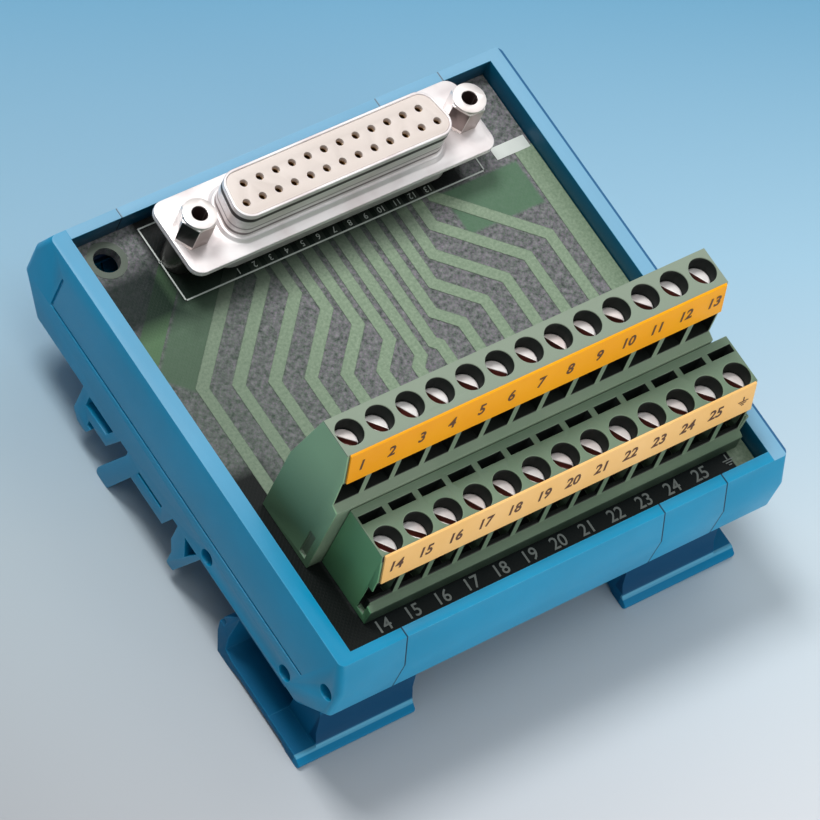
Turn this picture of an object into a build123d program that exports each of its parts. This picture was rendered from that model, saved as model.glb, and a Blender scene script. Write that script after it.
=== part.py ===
"""D-sub terminal block adapter.

A 25 way socket connector stands at the back of a circuit board, and two rows of screw
terminals stand at its front. The board lies in a tray that is snapped together from
moulded elements, and hooks and feet under the tray hold it on a 35 mm rail.

Lengths are millimetres and +Z is up. X runs along the terminal rows, and Y runs from the
terminals at the front to the connector at the back. The origin is midway along the tray
and over the middle of the rail, at the height on which the adapter stands by itself.
"""

import os
from math import radians, sin, tan

from build123d import *

# Screw terminals: the pole count and pitch set the length of the whole adapter
poles = 13
pole_pitch = 5.08
row_shift = pole_pitch / 2
rows_middle = 0.95
housing_end_trim = 0.2
housing_length = poles * pole_pitch - 2 * housing_end_trim
housing_end_room = 2.635

# Tray elements, from left to right: side, wide base, narrow base, side
plate_thickness = 2.65
side_element_length = 11.25
narrow_base_length = 11.25
tray_length = housing_length + row_shift + 2 * (housing_end_room + plate_thickness)
wide_base_length = tray_length - 2 * side_element_length - narrow_base_length
seam_gap = 0.05

# Tray section, across the rail
tray_depth = 78.0
rim_inset = 3.5
rim_width = 1.6
rim_height = 26.75
slope_drop = 5.0
straight_drop = 6.0
tray_underside = 11.0
tray_wall = 1.8
floor_thickness = 1.8
ledge_width = 2.6
ledge_thickness = 2.0
floor_rib_width = 1.4
floor_rib_height = 3.0
floor_rib_spacing = 22.0
cut_overlap = 1.0

# Side plates
plate_corner_round = 1.0
panel_groove_width = 0.5
panel_groove_depth = 0.4
panel_groove_rise = 0.45
panel_groove_top_drop = 3.65
panel_groove_inset = 6.8

# Pegs that line the elements up, by their distance from the front and from rim or underside
peg_diameter = 2.4
peg_length = 2.4
peg_clearance = 0.1
peg_boss_diameter = 3.9
low_peg_rise = 1.9
front_peg_inset = 9.2
middle_peg_inset = 29.0
high_peg_drop = 7.25
high_peg_inset = 2.1

# Rail that the adapter clips onto
rail_width = 35.0
rail_sheet = 1.0
rail_seat_height = 6.65
rail_clearance = 0.1
rail_lip = 1.1

# Hook at the back of a side plate, which grips the rail
hook_round = 0.7
hook_heel = 3.6
hook_heel_drop = 1.4
hook_heel_cut = 1.6
hook_drop = 2.7
hook_lip_slant = 1.0
hook_seat_length = 3.1
hook_root_length = 5.0
hook_slot_back = 19.4
hook_slot_length = 6.2
hook_slot_slant = 0.9
hook_slot_top_drop = 0.3
hook_slot_height = 2.2

# Slanted tongue that reaches down inside the rail
tongue_root_front = 6.0
tongue_root_back = 9.5
tongue_root_drop = 1.0
tongue_web_front = 7.2
tongue_toe_back = 12.9
tongue_toe_length = 2.9
tongue_toe_height = 1.4

# Deep edge between the tongue and the small hook, with a slit
pad_back = 7.5
pad_front = -2.5
pad_drop = 3.4
pad_slant = 1.6
pad_slit_middle = 3.4
pad_slit_length = 6.0
pad_slit_height = 0.6
pad_slit_drop = 0.85

# Small pointed hook for a narrow rail
small_hook_back = -3.4
small_hook_front = -9.6
small_hook_neck_drop = 3.6
small_hook_step = 1.0
small_hook_step_drop = 5.6
small_hook_toe_height = 2.6
small_hook_toe_length = 1.6
small_hook_hole_back = -5.3
small_hook_hole_length = 3.0
small_hook_hole_point = 1.4
small_hook_hole_height = 3.3
small_hook_hole_drop = 0.1

# Feet: head with a nose over the rail's edge, and a sole that ends in a lip
foot_length = 20.3
foot_inset = 0.3
foot_web = 2.0
foot_top_wall = 0.8
foot_head_length = 2.9
foot_cheek_drop = 2.6
foot_cheek_length = 1.2
foot_nose_drop = 0.6
foot_chin_drop = 3.2
foot_chin_length = 0.5
foot_heel_back = 2.1
foot_heel_front = 4.8
foot_arch_back = 7.6
foot_arch_front = 4.6
foot_toe_back = 2.9
foot_toe_front = 0.4
foot_sole = 1.7
foot_relief = 0.7
foot_lip_height = 0.8
foot_ridge_height = 1.6
foot_ridge_length = 1.2
foot_shin_length = 2.3
foot_shin_height = 3.8
foot_knee_length = 2.8
foot_knee_height = 6.3
foot_collar_length = 0.9
foot_collar_drop = 1.0
foot_pocket_back = 2.7
foot_pocket_middle = 4.6
foot_pocket_corner = 0.5
foot_block_depth = 8.2
foot_end_opening = 3.5
foot_key_width = 3.0
foot_key_height = 0.9
foot_key_inset = 14.0
key_clearance = 0.1

# Circuit board
board_end_gap = 0.125
board_inset = 3.0
board_thickness = 1.6
board_drop = 3.65
board_clearance = 0.1
board_hole_diameter = 4.0
board_hole_end_inset = 4.7
board_hole_back_inset = 4.0
board_fit = 0.1

# Copper on the board
copper_thickness = 0.07
track_width = 1.9
track_first_share = 0.41
track_step_share = 0.08
edge_band_width = 3.3
edge_band_margin = 1.0
pad_ring = 0.5

# D-sub connector: the contact pitch sets the length of its shells and flange
contact_pitch = 2.77
contact_row_spacing = 2.84
long_row_count = 13
short_row_count = 12
row_end_room = 2.58
row_side_room = 2.53
dsub_x = 1.15
dsub_setback = 7.95
flange_end_room = 3.0
flange_side_room = 2.325
flange_sheet = 0.5
flange_round = 2.0
flange_height = 6.65
skirt_height = 5.85
skirt_side_angle = 10.0
skirt_round = 2.6
skirt_sheet = 0.45
bead_overhang = 0.9
bead_height = 0.6
bead_side_angle = 35.0
rear_end_room = 1.4
rear_side_room = 1.35
rear_skirt_depth = 3.8
insulator_clearance = 0.05
insulator_recess = 0.15
rear_insulator_foot = 0.8
contact_barrel_diameter = 1.6
contact_bore_diameter = 1.02
contact_entry_diameter = 1.2
contact_tail_diameter = 0.8
contact_top_gap = 0.8
contact_bore_depth = 5.0
contact_tail_below_board = 1.6
contact_clearance = 0.05

# Jackscrews beside the skirt, and the spacers that carry the flange
jackscrew_room = 4.32
jackscrew_across_flats = 4.75
jackscrew_height = 5.3
jackscrew_collar_diameter = 5.0
jackscrew_collar_height = 0.5
jackscrew_bore_diameter = 2.4
jackscrew_bore_depth = 4.8
jackscrew_shank_diameter = 2.8
jackscrew_shank_length = 3.6
flange_hole_diameter = 3.1
spacer_diameter = 5.2
spacer_stem_diameter = 3.1
spacer_stem_below_board = 0.6
spacer_bore_clearance = 0.04

# Terminal housings, by their distance from the front of the board and height above it
housing_standoff = 0.1
block_gap = 0.1
lower_leg_inset = 4.3
upper_front_setback = 10.75
lower_top = 14.4
upper_top = 26.25
upper_lean_height = 14.35
upper_lean = 2.3
upper_foot_depth = 11.05

# Front of a housing from its top edge down: marker face, wire entry and leg
marker_run = 1.35
marker_face_drop = 5.2
entry_setback = 0.15
entry_top_drop = 5.8
entry_slope = 0.35
entry_height = 5.0
entry_lip = 0.5
leg_overhang = 2.8

# Snap groove in the left end of a housing and tooth on its right end
tooth_width = 1.2
tooth_height = 5.5
tooth_depth = 0.45
tooth_inset = 1.7
tooth_rise = 1.2
tooth_clearance = 0.1

# Clamp inside each pole
lower_screw_inset = 9.05
upper_screw_setback = 11.85
well_diameter = 4.2
well_depth = 4.7
shelf_thickness = 0.9
shank_clearance = 0.1
chamber_length = 4.3
chamber_width = 5.7
chamber_height = 7.1
funnel_length = 4.1
funnel_height = 4.6
cage_clearance = 0.1
cage_wall = 0.8
cage_side_wall = 0.5
cage_height = 6.0
bar_length = 2.4
bar_thickness = 1.0
pin_thickness = 1.0
pin_slot_clearance = 0.1
pin_below_board = 3.2
wire_gap = 2.3
core_height = 11.0
core_wall = 1.2
slot_length = 4.1
slot_width = 1.3
slot_depth = 4.0
slot_setback = 1.9

# Clamp screws
screw_head_diameter = 4.0
screw_head_height = 2.1
screw_head_depth = 2.4
screw_shank_diameter = 3.0
screw_slot_width = 0.85
screw_slot_depth = 1.1
screw_slot_angle = -52.0
screw_slot_spread = 9.0
screw_slot_step = 77.0
screw_edge = 0.3

# Marker strips
marker_end_inset = 0.35
marker_thickness = 0.35
marker_rise = 0.1
marker_gap = 0.05

# Places along the tray
half_length = tray_length / 2
seam_left = -half_length + side_element_length
seam_middle = seam_left + wide_base_length
seam_right = seam_middle + narrow_base_length
plate_inside = -half_length + plate_thickness
board_length = 2 * (half_length - plate_thickness - board_end_gap)
upper_first_x = rows_middle - row_shift / 2 - pole_pitch * (poles - 1) / 2
upper_centres = [upper_first_x + pole_pitch * i for i in range(poles)]
lower_centres = [x + row_shift for x in upper_centres]

# Places across the tray
half_depth = tray_depth / 2
half_rim = half_depth - rim_inset
half_board = half_depth - board_inset
rail_edge = rail_width / 2
peg_places = [
    (-half_depth + front_peg_inset, tray_underside + low_peg_rise),
    (-half_depth + middle_peg_inset, tray_underside + low_peg_rise),
    (-half_depth + high_peg_inset, rim_height - high_peg_drop),
]
dsub_y = half_board - dsub_setback
board_hole_place = (-board_length / 2 + board_hole_end_inset, half_board - board_hole_back_inset)
lower_leg_y = -half_board + lower_leg_inset
lower_top_front_y = lower_leg_y + leg_overhang
lower_screw_y = -half_board + lower_screw_inset
upper_screw_y = lower_screw_y + upper_screw_setback
upper_top_front_y = lower_top_front_y + upper_front_setback
upper_leg_y = upper_top_front_y - leg_overhang
upper_back_y = upper_leg_y + upper_foot_depth
lower_back_y = upper_leg_y - block_gap

# Heights
slope_height = rim_height - slope_drop
corner_height = slope_height - straight_drop
corner_leg = corner_height - tray_underside
floor_top = tray_underside + floor_thickness
board_top = rim_height - board_drop
board_bottom = board_top - board_thickness
flange_top = board_top + flange_height
flange_middle = flange_top - flange_sheet
flange_bottom = flange_middle - flange_sheet
skirt_top = flange_top + skirt_height

# Connector
skirt_length = contact_pitch * (long_row_count - 1) + 2 * row_end_room
skirt_width = contact_row_spacing + 2 * row_side_room
rear_skirt_length = skirt_length + 2 * rear_end_room
rear_skirt_width = skirt_width + 2 * rear_side_room
jackscrew_spacing = skirt_length + 2 * jackscrew_room
flange_length = jackscrew_spacing + 2 * flange_end_room
flange_width = skirt_width + 2 * flange_side_room
long_row = [
    (dsub_x + contact_pitch * (i - (long_row_count - 1) / 2), dsub_y - contact_row_spacing / 2)
    for i in range(long_row_count)
]
short_row = [
    (dsub_x + contact_pitch * (i - (short_row_count - 1) / 2), dsub_y + contact_row_spacing / 2)
    for i in range(short_row_count)
]
contact_places = long_row + short_row
jackscrew_places = [(dsub_x + side * jackscrew_spacing / 2, dsub_y) for side in (-1, 1)]

# Clamps, by their drop below the top of a housing
screw_drop = screw_head_depth + screw_head_height
chamber_top_drop = well_depth + shelf_thickness
cage_top_drop = chamber_top_drop + cage_clearance
bar_drop = cage_top_drop + cage_height - cage_wall - wire_gap - bar_thickness
shank_length = bar_drop - screw_drop
pin_setback = chamber_width / 2 - pin_thickness / 2
upper_pin_y = upper_screw_y + pin_setback
lower_pin_y = lower_screw_y + pin_setback
pin_places = [(x, upper_pin_y) for x in upper_centres] + [(x, lower_pin_y) for x in lower_centres]

os.makedirs("parts", exist_ok=True)


def save(piece, name):
    """Labels a finished piece and writes it as a STEP file."""
    piece.label = name
    export_step(piece, f"parts/{name}.step")


def outline(points):
    """Closed straight sided face through a list of points."""
    with BuildSketch() as face:
        with BuildLine():
            Polyline(*points, close=True)
        make_face()
    return face.sketch


def tray_outer():
    """Outside of the tray seen along the rail, with its sloped walls and cut corners."""
    rim = half_rim + rim_width
    left = [
        (-rim, rim_height),
        (-half_depth, slope_height),
        (-half_depth, corner_height),
        (-half_depth + corner_leg, tray_underside),
    ]
    right = [(-y, z) for y, z in reversed(left)]
    return outline(left + right)


def tray_hollow():
    """Space inside the tray: rim opening, board groove, ledges and the room below them."""
    groove = half_board + board_clearance
    ledge = groove - ledge_width
    wall = half_depth - tray_wall
    corner = tray_wall * tan(radians(22.5))
    left = [
        (-half_rim, rim_height + cut_overlap),
        (-half_rim, board_top + board_clearance),
        (-groove, board_top + board_clearance),
        (-groove, board_bottom),
        (-ledge, board_bottom),
        (-ledge, board_bottom - ledge_thickness),
        (-wall, board_bottom - ledge_thickness),
        (-wall, corner_height + corner),
        (-half_depth + corner_leg + corner, floor_top),
    ]
    right = [(-y, z) for y, z in reversed(left)]
    return outline(left + right)


def base_section():
    """Section of a base element: tray wall, floor ribs, peg bosses and the foot groove."""
    with BuildSketch() as section:
        add(tray_outer())
        add(tray_hollow(), mode=Mode.SUBTRACT)
        with Locations(
            (-floor_rib_spacing / 2, floor_top + floor_rib_height / 2),
            (floor_rib_spacing / 2, floor_top + floor_rib_height / 2),
        ):
            Rectangle(floor_rib_width, floor_rib_height)
        with BuildSketch(mode=Mode.PRIVATE) as bosses:
            with Locations(*peg_places):
                Circle(peg_boss_diameter / 2)
            add(tray_outer(), mode=Mode.INTERSECT)
        add(bosses.sketch)
        with Locations((-half_depth + foot_key_inset, tray_underside + foot_key_height / 2)):
            Rectangle(
                foot_key_width + 2 * key_clearance,
                foot_key_height + 2 * key_clearance,
                mode=Mode.SUBTRACT,
            )
    return section.sketch


def peg_pattern(diameter):
    """Round peg or hole sections at every peg place."""
    with BuildSketch() as pegs:
        with Locations(*peg_places):
            Circle(diameter / 2)
    return pegs.sketch


def rail_slot(middle_y):
    """Room for the edge of the rail, with its clearance."""
    with BuildSketch() as slot:
        with Locations((middle_y, rail_seat_height - rail_sheet / 2)):
            Rectangle(rail_lip + 2 * rail_clearance, rail_sheet + 2 * rail_clearance)
    return slot.sketch


def rail_hook():
    """Fixed hook at the back: it goes round the rail's edge and the rail seats above its lip."""
    root = tray_underside + cut_overlap
    lip = rail_edge - rail_lip
    heel = rail_edge + hook_heel
    foot = rail_seat_height - hook_drop
    with BuildSketch() as hook:
        with BuildLine():
            Polyline(
                (heel, root),
                (heel, rail_seat_height - hook_heel_drop),
                (heel - hook_heel_cut, foot),
                (lip + hook_lip_slant, foot),
                (lip, rail_seat_height),
                (lip - hook_seat_length, rail_seat_height),
                (lip - hook_root_length, tray_underside),
                (lip - hook_root_length, root),
                close=True,
            )
        make_face()
        low_corners = hook.vertices().filter_by(lambda v: v.Y < rail_seat_height - rail_sheet)
        fillet(low_corners, hook_round)
        add(rail_slot(rail_edge - rail_lip / 2 + rail_clearance), mode=Mode.SUBTRACT)
    return hook.sketch


def rail_tongue():
    """Slanted tongue that reaches down inside the rail and on which the tray stands."""
    root = tray_underside + cut_overlap
    with BuildSketch() as tongue:
        with BuildLine():
            Polyline(
                (tongue_root_back, root),
                (tongue_root_back, tray_underside - tongue_root_drop),
                (tongue_toe_back, tongue_toe_height),
                (tongue_toe_back, 0),
                (tongue_toe_back - tongue_toe_length, 0),
                (tongue_web_front, tray_underside - pad_drop),
                (tongue_root_front, root),
                close=True,
            )
        make_face()
        toe = tongue.vertices().filter_by(lambda v: v.Y < rail_seat_height)
        fillet(toe, hook_round)
    return tongue.sketch


def rail_pad():
    """Deep edge between the tongue and the small hook."""
    root = tray_underside + cut_overlap
    foot = tray_underside - pad_drop
    return outline([(pad_back, root), (pad_back, foot), (pad_front + pad_slant, foot), (pad_front, root)])


def small_hook():
    """Small pointed hook near the middle, for a narrow rail."""
    root = tray_underside + cut_overlap
    toe_back = small_hook_back - small_hook_step
    with BuildSketch() as hook:
        with BuildLine():
            Polyline(
                (small_hook_back, root),
                (small_hook_back, tray_underside - small_hook_neck_drop),
                (toe_back, tray_underside - small_hook_step_drop),
                (toe_back, small_hook_toe_height),
                (toe_back - small_hook_toe_length, small_hook_toe_height),
                (small_hook_front, root),
                close=True,
            )
        make_face()
        toe = hook.vertices().group_by(Axis.Y)[0]
        fillet(toe, hook_round / 2)
    return hook.sketch


def plate_cuts():
    """Openings through a side plate: two slots, the three sided hole and the spare peg holes."""
    slot_top = tray_underside - hook_slot_top_drop
    slot_bottom = slot_top - hook_slot_height
    hole_top = tray_underside - small_hook_hole_drop
    with BuildSketch() as cuts:
        slot = [
            (hook_slot_back, slot_top),
            (hook_slot_back, slot_bottom),
            (hook_slot_back - hook_slot_length + hook_slot_slant, slot_bottom),
            (hook_slot_back - hook_slot_length, slot_top),
        ]
        add(outline(slot))
        with Locations((pad_slit_middle, tray_underside - pad_slit_drop)):
            Rectangle(pad_slit_length, pad_slit_height)
        hole = [
            (small_hook_hole_back, hole_top),
            (small_hook_hole_back - small_hook_hole_point, hole_top - small_hook_hole_height),
            (small_hook_hole_back - small_hook_hole_length, hole_top),
        ]
        add(outline(hole))
        with Locations(*peg_places):
            Circle(peg_diameter / 2 + peg_clearance)
    return cuts.sketch


# Left side element: side plate with the rail hooks, and a short length of tray
with BuildPart() as side_element_left:
    with BuildSketch(Plane.YZ.offset(-half_length)):
        add(tray_outer())
        add(rail_hook())
        add(rail_tongue())
        add(rail_pad())
        add(small_hook())
    extrude(amount=plate_thickness)
    outer_edges = side_element_left.edges().group_by(Axis.X)[0]
    wall_edges = outer_edges.filter_by(lambda e: abs(e.center().Y) > half_depth - panel_groove_inset)
    fillet(wall_edges, plate_corner_round)
    with BuildSketch(Plane.YZ.offset(-half_length)):
        add(plate_cuts())
    extrude(amount=plate_thickness, mode=Mode.SUBTRACT)
    with BuildSketch(Plane.YZ.offset(plate_inside)):
        add(base_section())
    extrude(amount=side_element_length - plate_thickness - seam_gap)
    # Peg holes in the joint face
    with BuildSketch(Plane.YZ.offset(seam_left)):
        add(peg_pattern(peg_diameter + 2 * peg_clearance))
    extrude(amount=-(peg_length + seam_gap + peg_clearance), mode=Mode.SUBTRACT)
    # Panel groove on the outer face
    groove_end = half_depth - panel_groove_inset
    groove_low = corner_height + panel_groove_rise
    groove_high = rim_height - panel_groove_top_drop
    with BuildSketch(Plane.YZ.offset(-half_length)):
        with BuildLine():
            Polyline(
                (-groove_end, groove_low),
                (groove_end, groove_low),
                (groove_end, groove_high),
                (groove_end - panel_groove_width, groove_high),
                (groove_end - panel_groove_width, groove_low + panel_groove_width),
                (-groove_end, groove_low + panel_groove_width),
                close=True,
            )
        make_face()
    extrude(amount=panel_groove_depth, mode=Mode.SUBTRACT)
save(side_element_left.part, "side_element_left")


# Right side element: the mirror image of the left one
with BuildPart() as side_element_right:
    add(mirror(side_element_left.part, about=Plane.YZ, mode=Mode.PRIVATE))
save(side_element_right.part, "side_element_right")


# Wide base element, with pegs towards the left and holes towards the right
with BuildPart() as base_element_wide:
    with BuildSketch(Plane.YZ.offset(seam_left)):
        add(base_section())
    extrude(amount=wide_base_length - seam_gap)
    with BuildSketch(Plane.YZ.offset(seam_left)):
        add(peg_pattern(peg_diameter))
    extrude(amount=-peg_length)
    with BuildSketch(Plane.YZ.offset(seam_middle)):
        add(peg_pattern(peg_diameter + 2 * peg_clearance))
    extrude(amount=-(peg_length + seam_gap + peg_clearance), mode=Mode.SUBTRACT)
save(base_element_wide.part, "base_element_wide")


# Narrow base element, with pegs on both sides
with BuildPart() as base_element_narrow:
    with BuildSketch(Plane.YZ.offset(seam_middle)):
        add(base_section())
    extrude(amount=narrow_base_length)
    with BuildSketch(Plane.YZ.offset(seam_middle)):
        add(peg_pattern(peg_diameter))
    extrude(amount=-peg_length)
    with BuildSketch(Plane.YZ.offset(seam_right)):
        add(peg_pattern(peg_diameter))
    extrude(amount=peg_length)
save(base_element_narrow.part, "base_element_narrow")


# Left foot: one moulding with a nose that grips the rail and a lip to lever it off
foot_outer_x = -half_length + foot_inset
foot_nose = -rail_edge + rail_lip
foot_back = foot_nose - foot_head_length
foot_corner = -half_depth + corner_leg
foot_block = -half_depth + foot_block_depth
foot_ceiling = tray_underside - foot_top_wall
with BuildPart() as rail_foot_left:
    with BuildSketch(Plane.YZ.offset(foot_outer_x)) as foot_profile:
        with BuildLine():
            Polyline(
                (foot_back, tray_underside),
                (foot_nose - foot_cheek_length, tray_underside - foot_cheek_drop),
                (foot_nose, rail_seat_height - foot_nose_drop),
                (foot_nose - foot_chin_length, rail_seat_height - foot_chin_drop),
                (foot_nose - foot_heel_back, 0),
                (foot_nose - foot_heel_front, 0),
                (foot_nose - foot_arch_back, foot_relief),
                (-half_depth + foot_arch_front, foot_relief),
                (-half_depth + foot_toe_back, 0),
                (-half_depth + foot_toe_front, 0),
                (-half_depth, foot_lip_height / 2),
                (-half_depth, foot_lip_height),
                (-half_depth + foot_ridge_length, foot_ridge_height),
                (-half_depth + foot_shin_length, foot_shin_height),
                (-half_depth + foot_knee_length, foot_knee_height),
                (foot_corner - foot_collar_length, tray_underside - foot_collar_drop),
                (foot_corner, tray_underside),
                close=True,
            )
        make_face()
        nose = foot_profile.vertices().filter_by(lambda v: v.X > foot_nose - foot_cheek_length / 2)
        fillet(nose, hook_round)
        add(rail_slot(-rail_edge + rail_lip / 2), mode=Mode.SUBTRACT)
    extrude(amount=foot_length)
    # Pockets from both sides leave a web in the middle
    pocket_depth = (foot_length - foot_web) / 2
    for pocket_x in (foot_outer_x, foot_outer_x + pocket_depth + foot_web):
        with BuildSketch(Plane.YZ.offset(pocket_x)) as pocket:
            with BuildLine():
                Polyline(
                    (foot_back, foot_ceiling),
                    (foot_nose - foot_pocket_back, foot_pocket_middle),
                    (foot_nose - foot_pocket_back - foot_pocket_corner, foot_sole + foot_pocket_corner),
                    (foot_nose - foot_heel_front, foot_sole),
                    (foot_block, foot_sole),
                    (foot_block, foot_ceiling),
                    close=True,
                )
            make_face()
        extrude(amount=pocket_depth, mode=Mode.SUBTRACT)
    # The block behind the lip stops short of the outer end
    with BuildSketch(Plane.YZ.offset(foot_outer_x)):
        with BuildLine():
            Polyline(
                (foot_block, foot_ridge_height),
                (-half_depth, foot_ridge_height),
                (-half_depth, tray_underside),
                (foot_block, tray_underside),
                close=True,
            )
        make_face()
    extrude(amount=foot_end_opening, mode=Mode.SUBTRACT)
    # Rounded ends of the lip
    lip_ends = rail_foot_left.edges().filter_by(Axis.Z).group_by(Axis.Y)[0]
    fillet(lip_ends, foot_lip_height / 3)
    # Key that seats in the groove under the tray
    key_start = plate_inside + key_clearance
    with BuildSketch(Plane.XY.offset(tray_underside)):
        with Locations((key_start, -half_depth + foot_key_inset)):
            Rectangle(
                foot_outer_x + foot_length - key_start,
                foot_key_width,
                align=(Align.MIN, Align.CENTER),
            )
    extrude(amount=foot_key_height)
save(rail_foot_left.part, "rail_foot_left")


# Right foot: the mirror image of the left one
with BuildPart() as rail_foot_right:
    add(mirror(rail_foot_left.part, about=Plane.YZ, mode=Mode.PRIVATE))
save(rail_foot_right.part, "rail_foot_right")


# Circuit board, with a hole for every pin, both spacers and the corner hole
tail_hole_diameter = contact_tail_diameter + 2 * board_fit
pin_hole_diameter = pin_thickness * 2**0.5 + board_fit
with BuildPart() as circuit_board:
    with BuildSketch(Plane.XY.offset(board_bottom)):
        Rectangle(board_length, 2 * half_board)
        with Locations(*contact_places):
            Circle(tail_hole_diameter / 2, mode=Mode.SUBTRACT)
        with Locations(*pin_places):
            Circle(pin_hole_diameter / 2, mode=Mode.SUBTRACT)
        with Locations(*jackscrew_places):
            Circle(spacer_stem_diameter / 2 + board_fit, mode=Mode.SUBTRACT)
        with Locations(board_hole_place):
            Circle(board_hole_diameter / 2, mode=Mode.SUBTRACT)
    extrude(amount=board_thickness)
save(circuit_board.part, "circuit_board")


def track(start, end, bend_y):
    """One track: straight from its contact, across at 45 degrees, straight to its terminal."""
    start_x, start_y = start
    end_x, end_y = end
    shift = end_x - start_x
    half = track_width / 2
    corner = half * tan(radians(22.5)) * (1 if shift > 0 else -1)
    upper_y = bend_y + abs(shift)
    one_side = [
        (start_x - half, start_y),
        (start_x - half, upper_y - corner),
        (end_x - half, bend_y - corner),
        (end_x - half, end_y),
    ]
    other_side = [
        (end_x + half, end_y),
        (end_x + half, bend_y + corner),
        (start_x + half, upper_y + corner),
        (start_x + half, start_y),
    ]
    return outline(one_side + other_side)


# Copper tracks from the long contact row to the upper terminals, and the band at the edge
fan_shift = max(abs(end - start[0]) for start, end in zip(long_row, upper_centres))
fan_room = long_row[0][1] - upper_back_y - fan_shift
first_bend_y = upper_back_y + track_first_share * fan_room
with BuildPart() as board_tracks:
    with BuildSketch(Plane.XY.offset(board_top)):
        for index, contact in enumerate(long_row):
            steps_out = abs(index - (long_row_count - 1) / 2)
            terminal = (upper_centres[index], upper_pin_y - pad_ring)
            bend_y = first_bend_y + track_step_share * fan_room * steps_out
            add(track(contact, terminal, bend_y))
        with Locations(*[(x, upper_pin_y) for x in upper_centres]):
            Circle(pin_hole_diameter / 2, mode=Mode.SUBTRACT)
        with Locations(*long_row):
            Circle(tail_hole_diameter / 2 + pad_ring)
            Circle(tail_hole_diameter / 2, mode=Mode.SUBTRACT)
        band_top = dsub_y - flange_width / 2 + edge_band_margin
        band_length = band_top + half_board - edge_band_margin
        with Locations((board_length / 2, band_top)):
            Rectangle(edge_band_width, band_length, align=(Align.MAX, Align.MAX))
        with Locations(board_hole_place):
            Circle(board_hole_diameter / 2 + 2 * pad_ring)
            Circle(board_hole_diameter / 2, mode=Mode.SUBTRACT)
    extrude(amount=copper_thickness)
save(board_tracks.part, "board_tracks")


def d_shape(length, width, corner):
    """The D of the connector: two long sides and two that lean in by the side angle."""
    lean = width * tan(radians(skirt_side_angle))
    half = length / 2
    points = [
        (dsub_x - half, dsub_y - width / 2),
        (dsub_x + half, dsub_y - width / 2),
        (dsub_x + half - lean, dsub_y + width / 2),
        (dsub_x - half + lean, dsub_y + width / 2),
    ]
    with BuildSketch() as shape:
        add(outline(points))
        fillet(shape.vertices(), corner)
    return shape.sketch


def flange_face():
    """Flange of the connector with its two jackscrew holes."""
    with BuildSketch() as face:
        with Locations((dsub_x, dsub_y)):
            RectangleRounded(flange_length, flange_width, flange_round)
        with Locations(*jackscrew_places):
            Circle(flange_hole_diameter / 2, mode=Mode.SUBTRACT)
    return face.sketch


# Front shell: flange, drawn bead and D shaped skirt from one sheet
bead_length = skirt_length + 2 * bead_overhang
bead_width = skirt_width + 2 * bead_overhang
inner_skirt_length = skirt_length - 2 * skirt_sheet
inner_skirt_width = skirt_width - 2 * skirt_sheet
with BuildPart() as dsub_front_shell:
    with BuildSketch(Plane.XY.offset(flange_middle)):
        add(flange_face())
    extrude(amount=flange_sheet)
    with BuildSketch(Plane.XY.offset(flange_top)):
        add(d_shape(bead_length, bead_width, skirt_round + bead_overhang))
    extrude(amount=bead_height, taper=bead_side_angle)
    with BuildSketch(Plane.XY.offset(flange_top)):
        add(d_shape(skirt_length, skirt_width, skirt_round))
    extrude(amount=skirt_height)
    with BuildSketch(Plane.XY.offset(flange_middle)):
        add(d_shape(inner_skirt_length, inner_skirt_width, skirt_round - skirt_sheet))
    extrude(amount=flange_sheet + skirt_height, mode=Mode.SUBTRACT)
save(dsub_front_shell.part, "dsub_front_shell")


# Rear shell: second flange and the box behind it
inner_rear_length = rear_skirt_length - 2 * skirt_sheet
inner_rear_width = rear_skirt_width - 2 * skirt_sheet
with BuildPart() as dsub_rear_shell:
    with BuildSketch(Plane.XY.offset(flange_bottom)):
        add(flange_face())
    extrude(amount=flange_sheet)
    with BuildSketch(Plane.XY.offset(flange_bottom)):
        add(d_shape(rear_skirt_length, rear_skirt_width, skirt_round))
    extrude(amount=-rear_skirt_depth)
    with BuildSketch(Plane.XY.offset(flange_middle)):
        add(d_shape(inner_rear_length, inner_rear_width, skirt_round - skirt_sheet))
    extrude(amount=-flange_sheet - rear_skirt_depth, mode=Mode.SUBTRACT)
save(dsub_rear_shell.part, "dsub_rear_shell")


# Front insulator: fills the skirt, with an entry for each contact over the room for its barrel
front_insulator_top = skirt_top - insulator_recess
barrel_top = front_insulator_top - contact_top_gap
barrel_room = contact_barrel_diameter / 2 + contact_clearance
with BuildPart() as dsub_front_insulator:
    with BuildSketch(Plane.XY.offset(flange_middle)):
        add(
            d_shape(
                inner_skirt_length - 2 * insulator_clearance,
                inner_skirt_width - 2 * insulator_clearance,
                skirt_round - skirt_sheet - insulator_clearance,
            )
        )
        with Locations(*contact_places):
            Circle(barrel_room, mode=Mode.SUBTRACT)
    extrude(amount=barrel_top - flange_middle)
    with BuildSketch(Plane.XY.offset(barrel_top)):
        add(
            d_shape(
                inner_skirt_length - 2 * insulator_clearance,
                inner_skirt_width - 2 * insulator_clearance,
                skirt_round - skirt_sheet - insulator_clearance,
            )
        )
        with Locations(*contact_places):
            Circle(contact_entry_diameter / 2, mode=Mode.SUBTRACT)
    extrude(amount=contact_top_gap)
save(dsub_front_insulator.part, "dsub_front_insulator")


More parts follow.
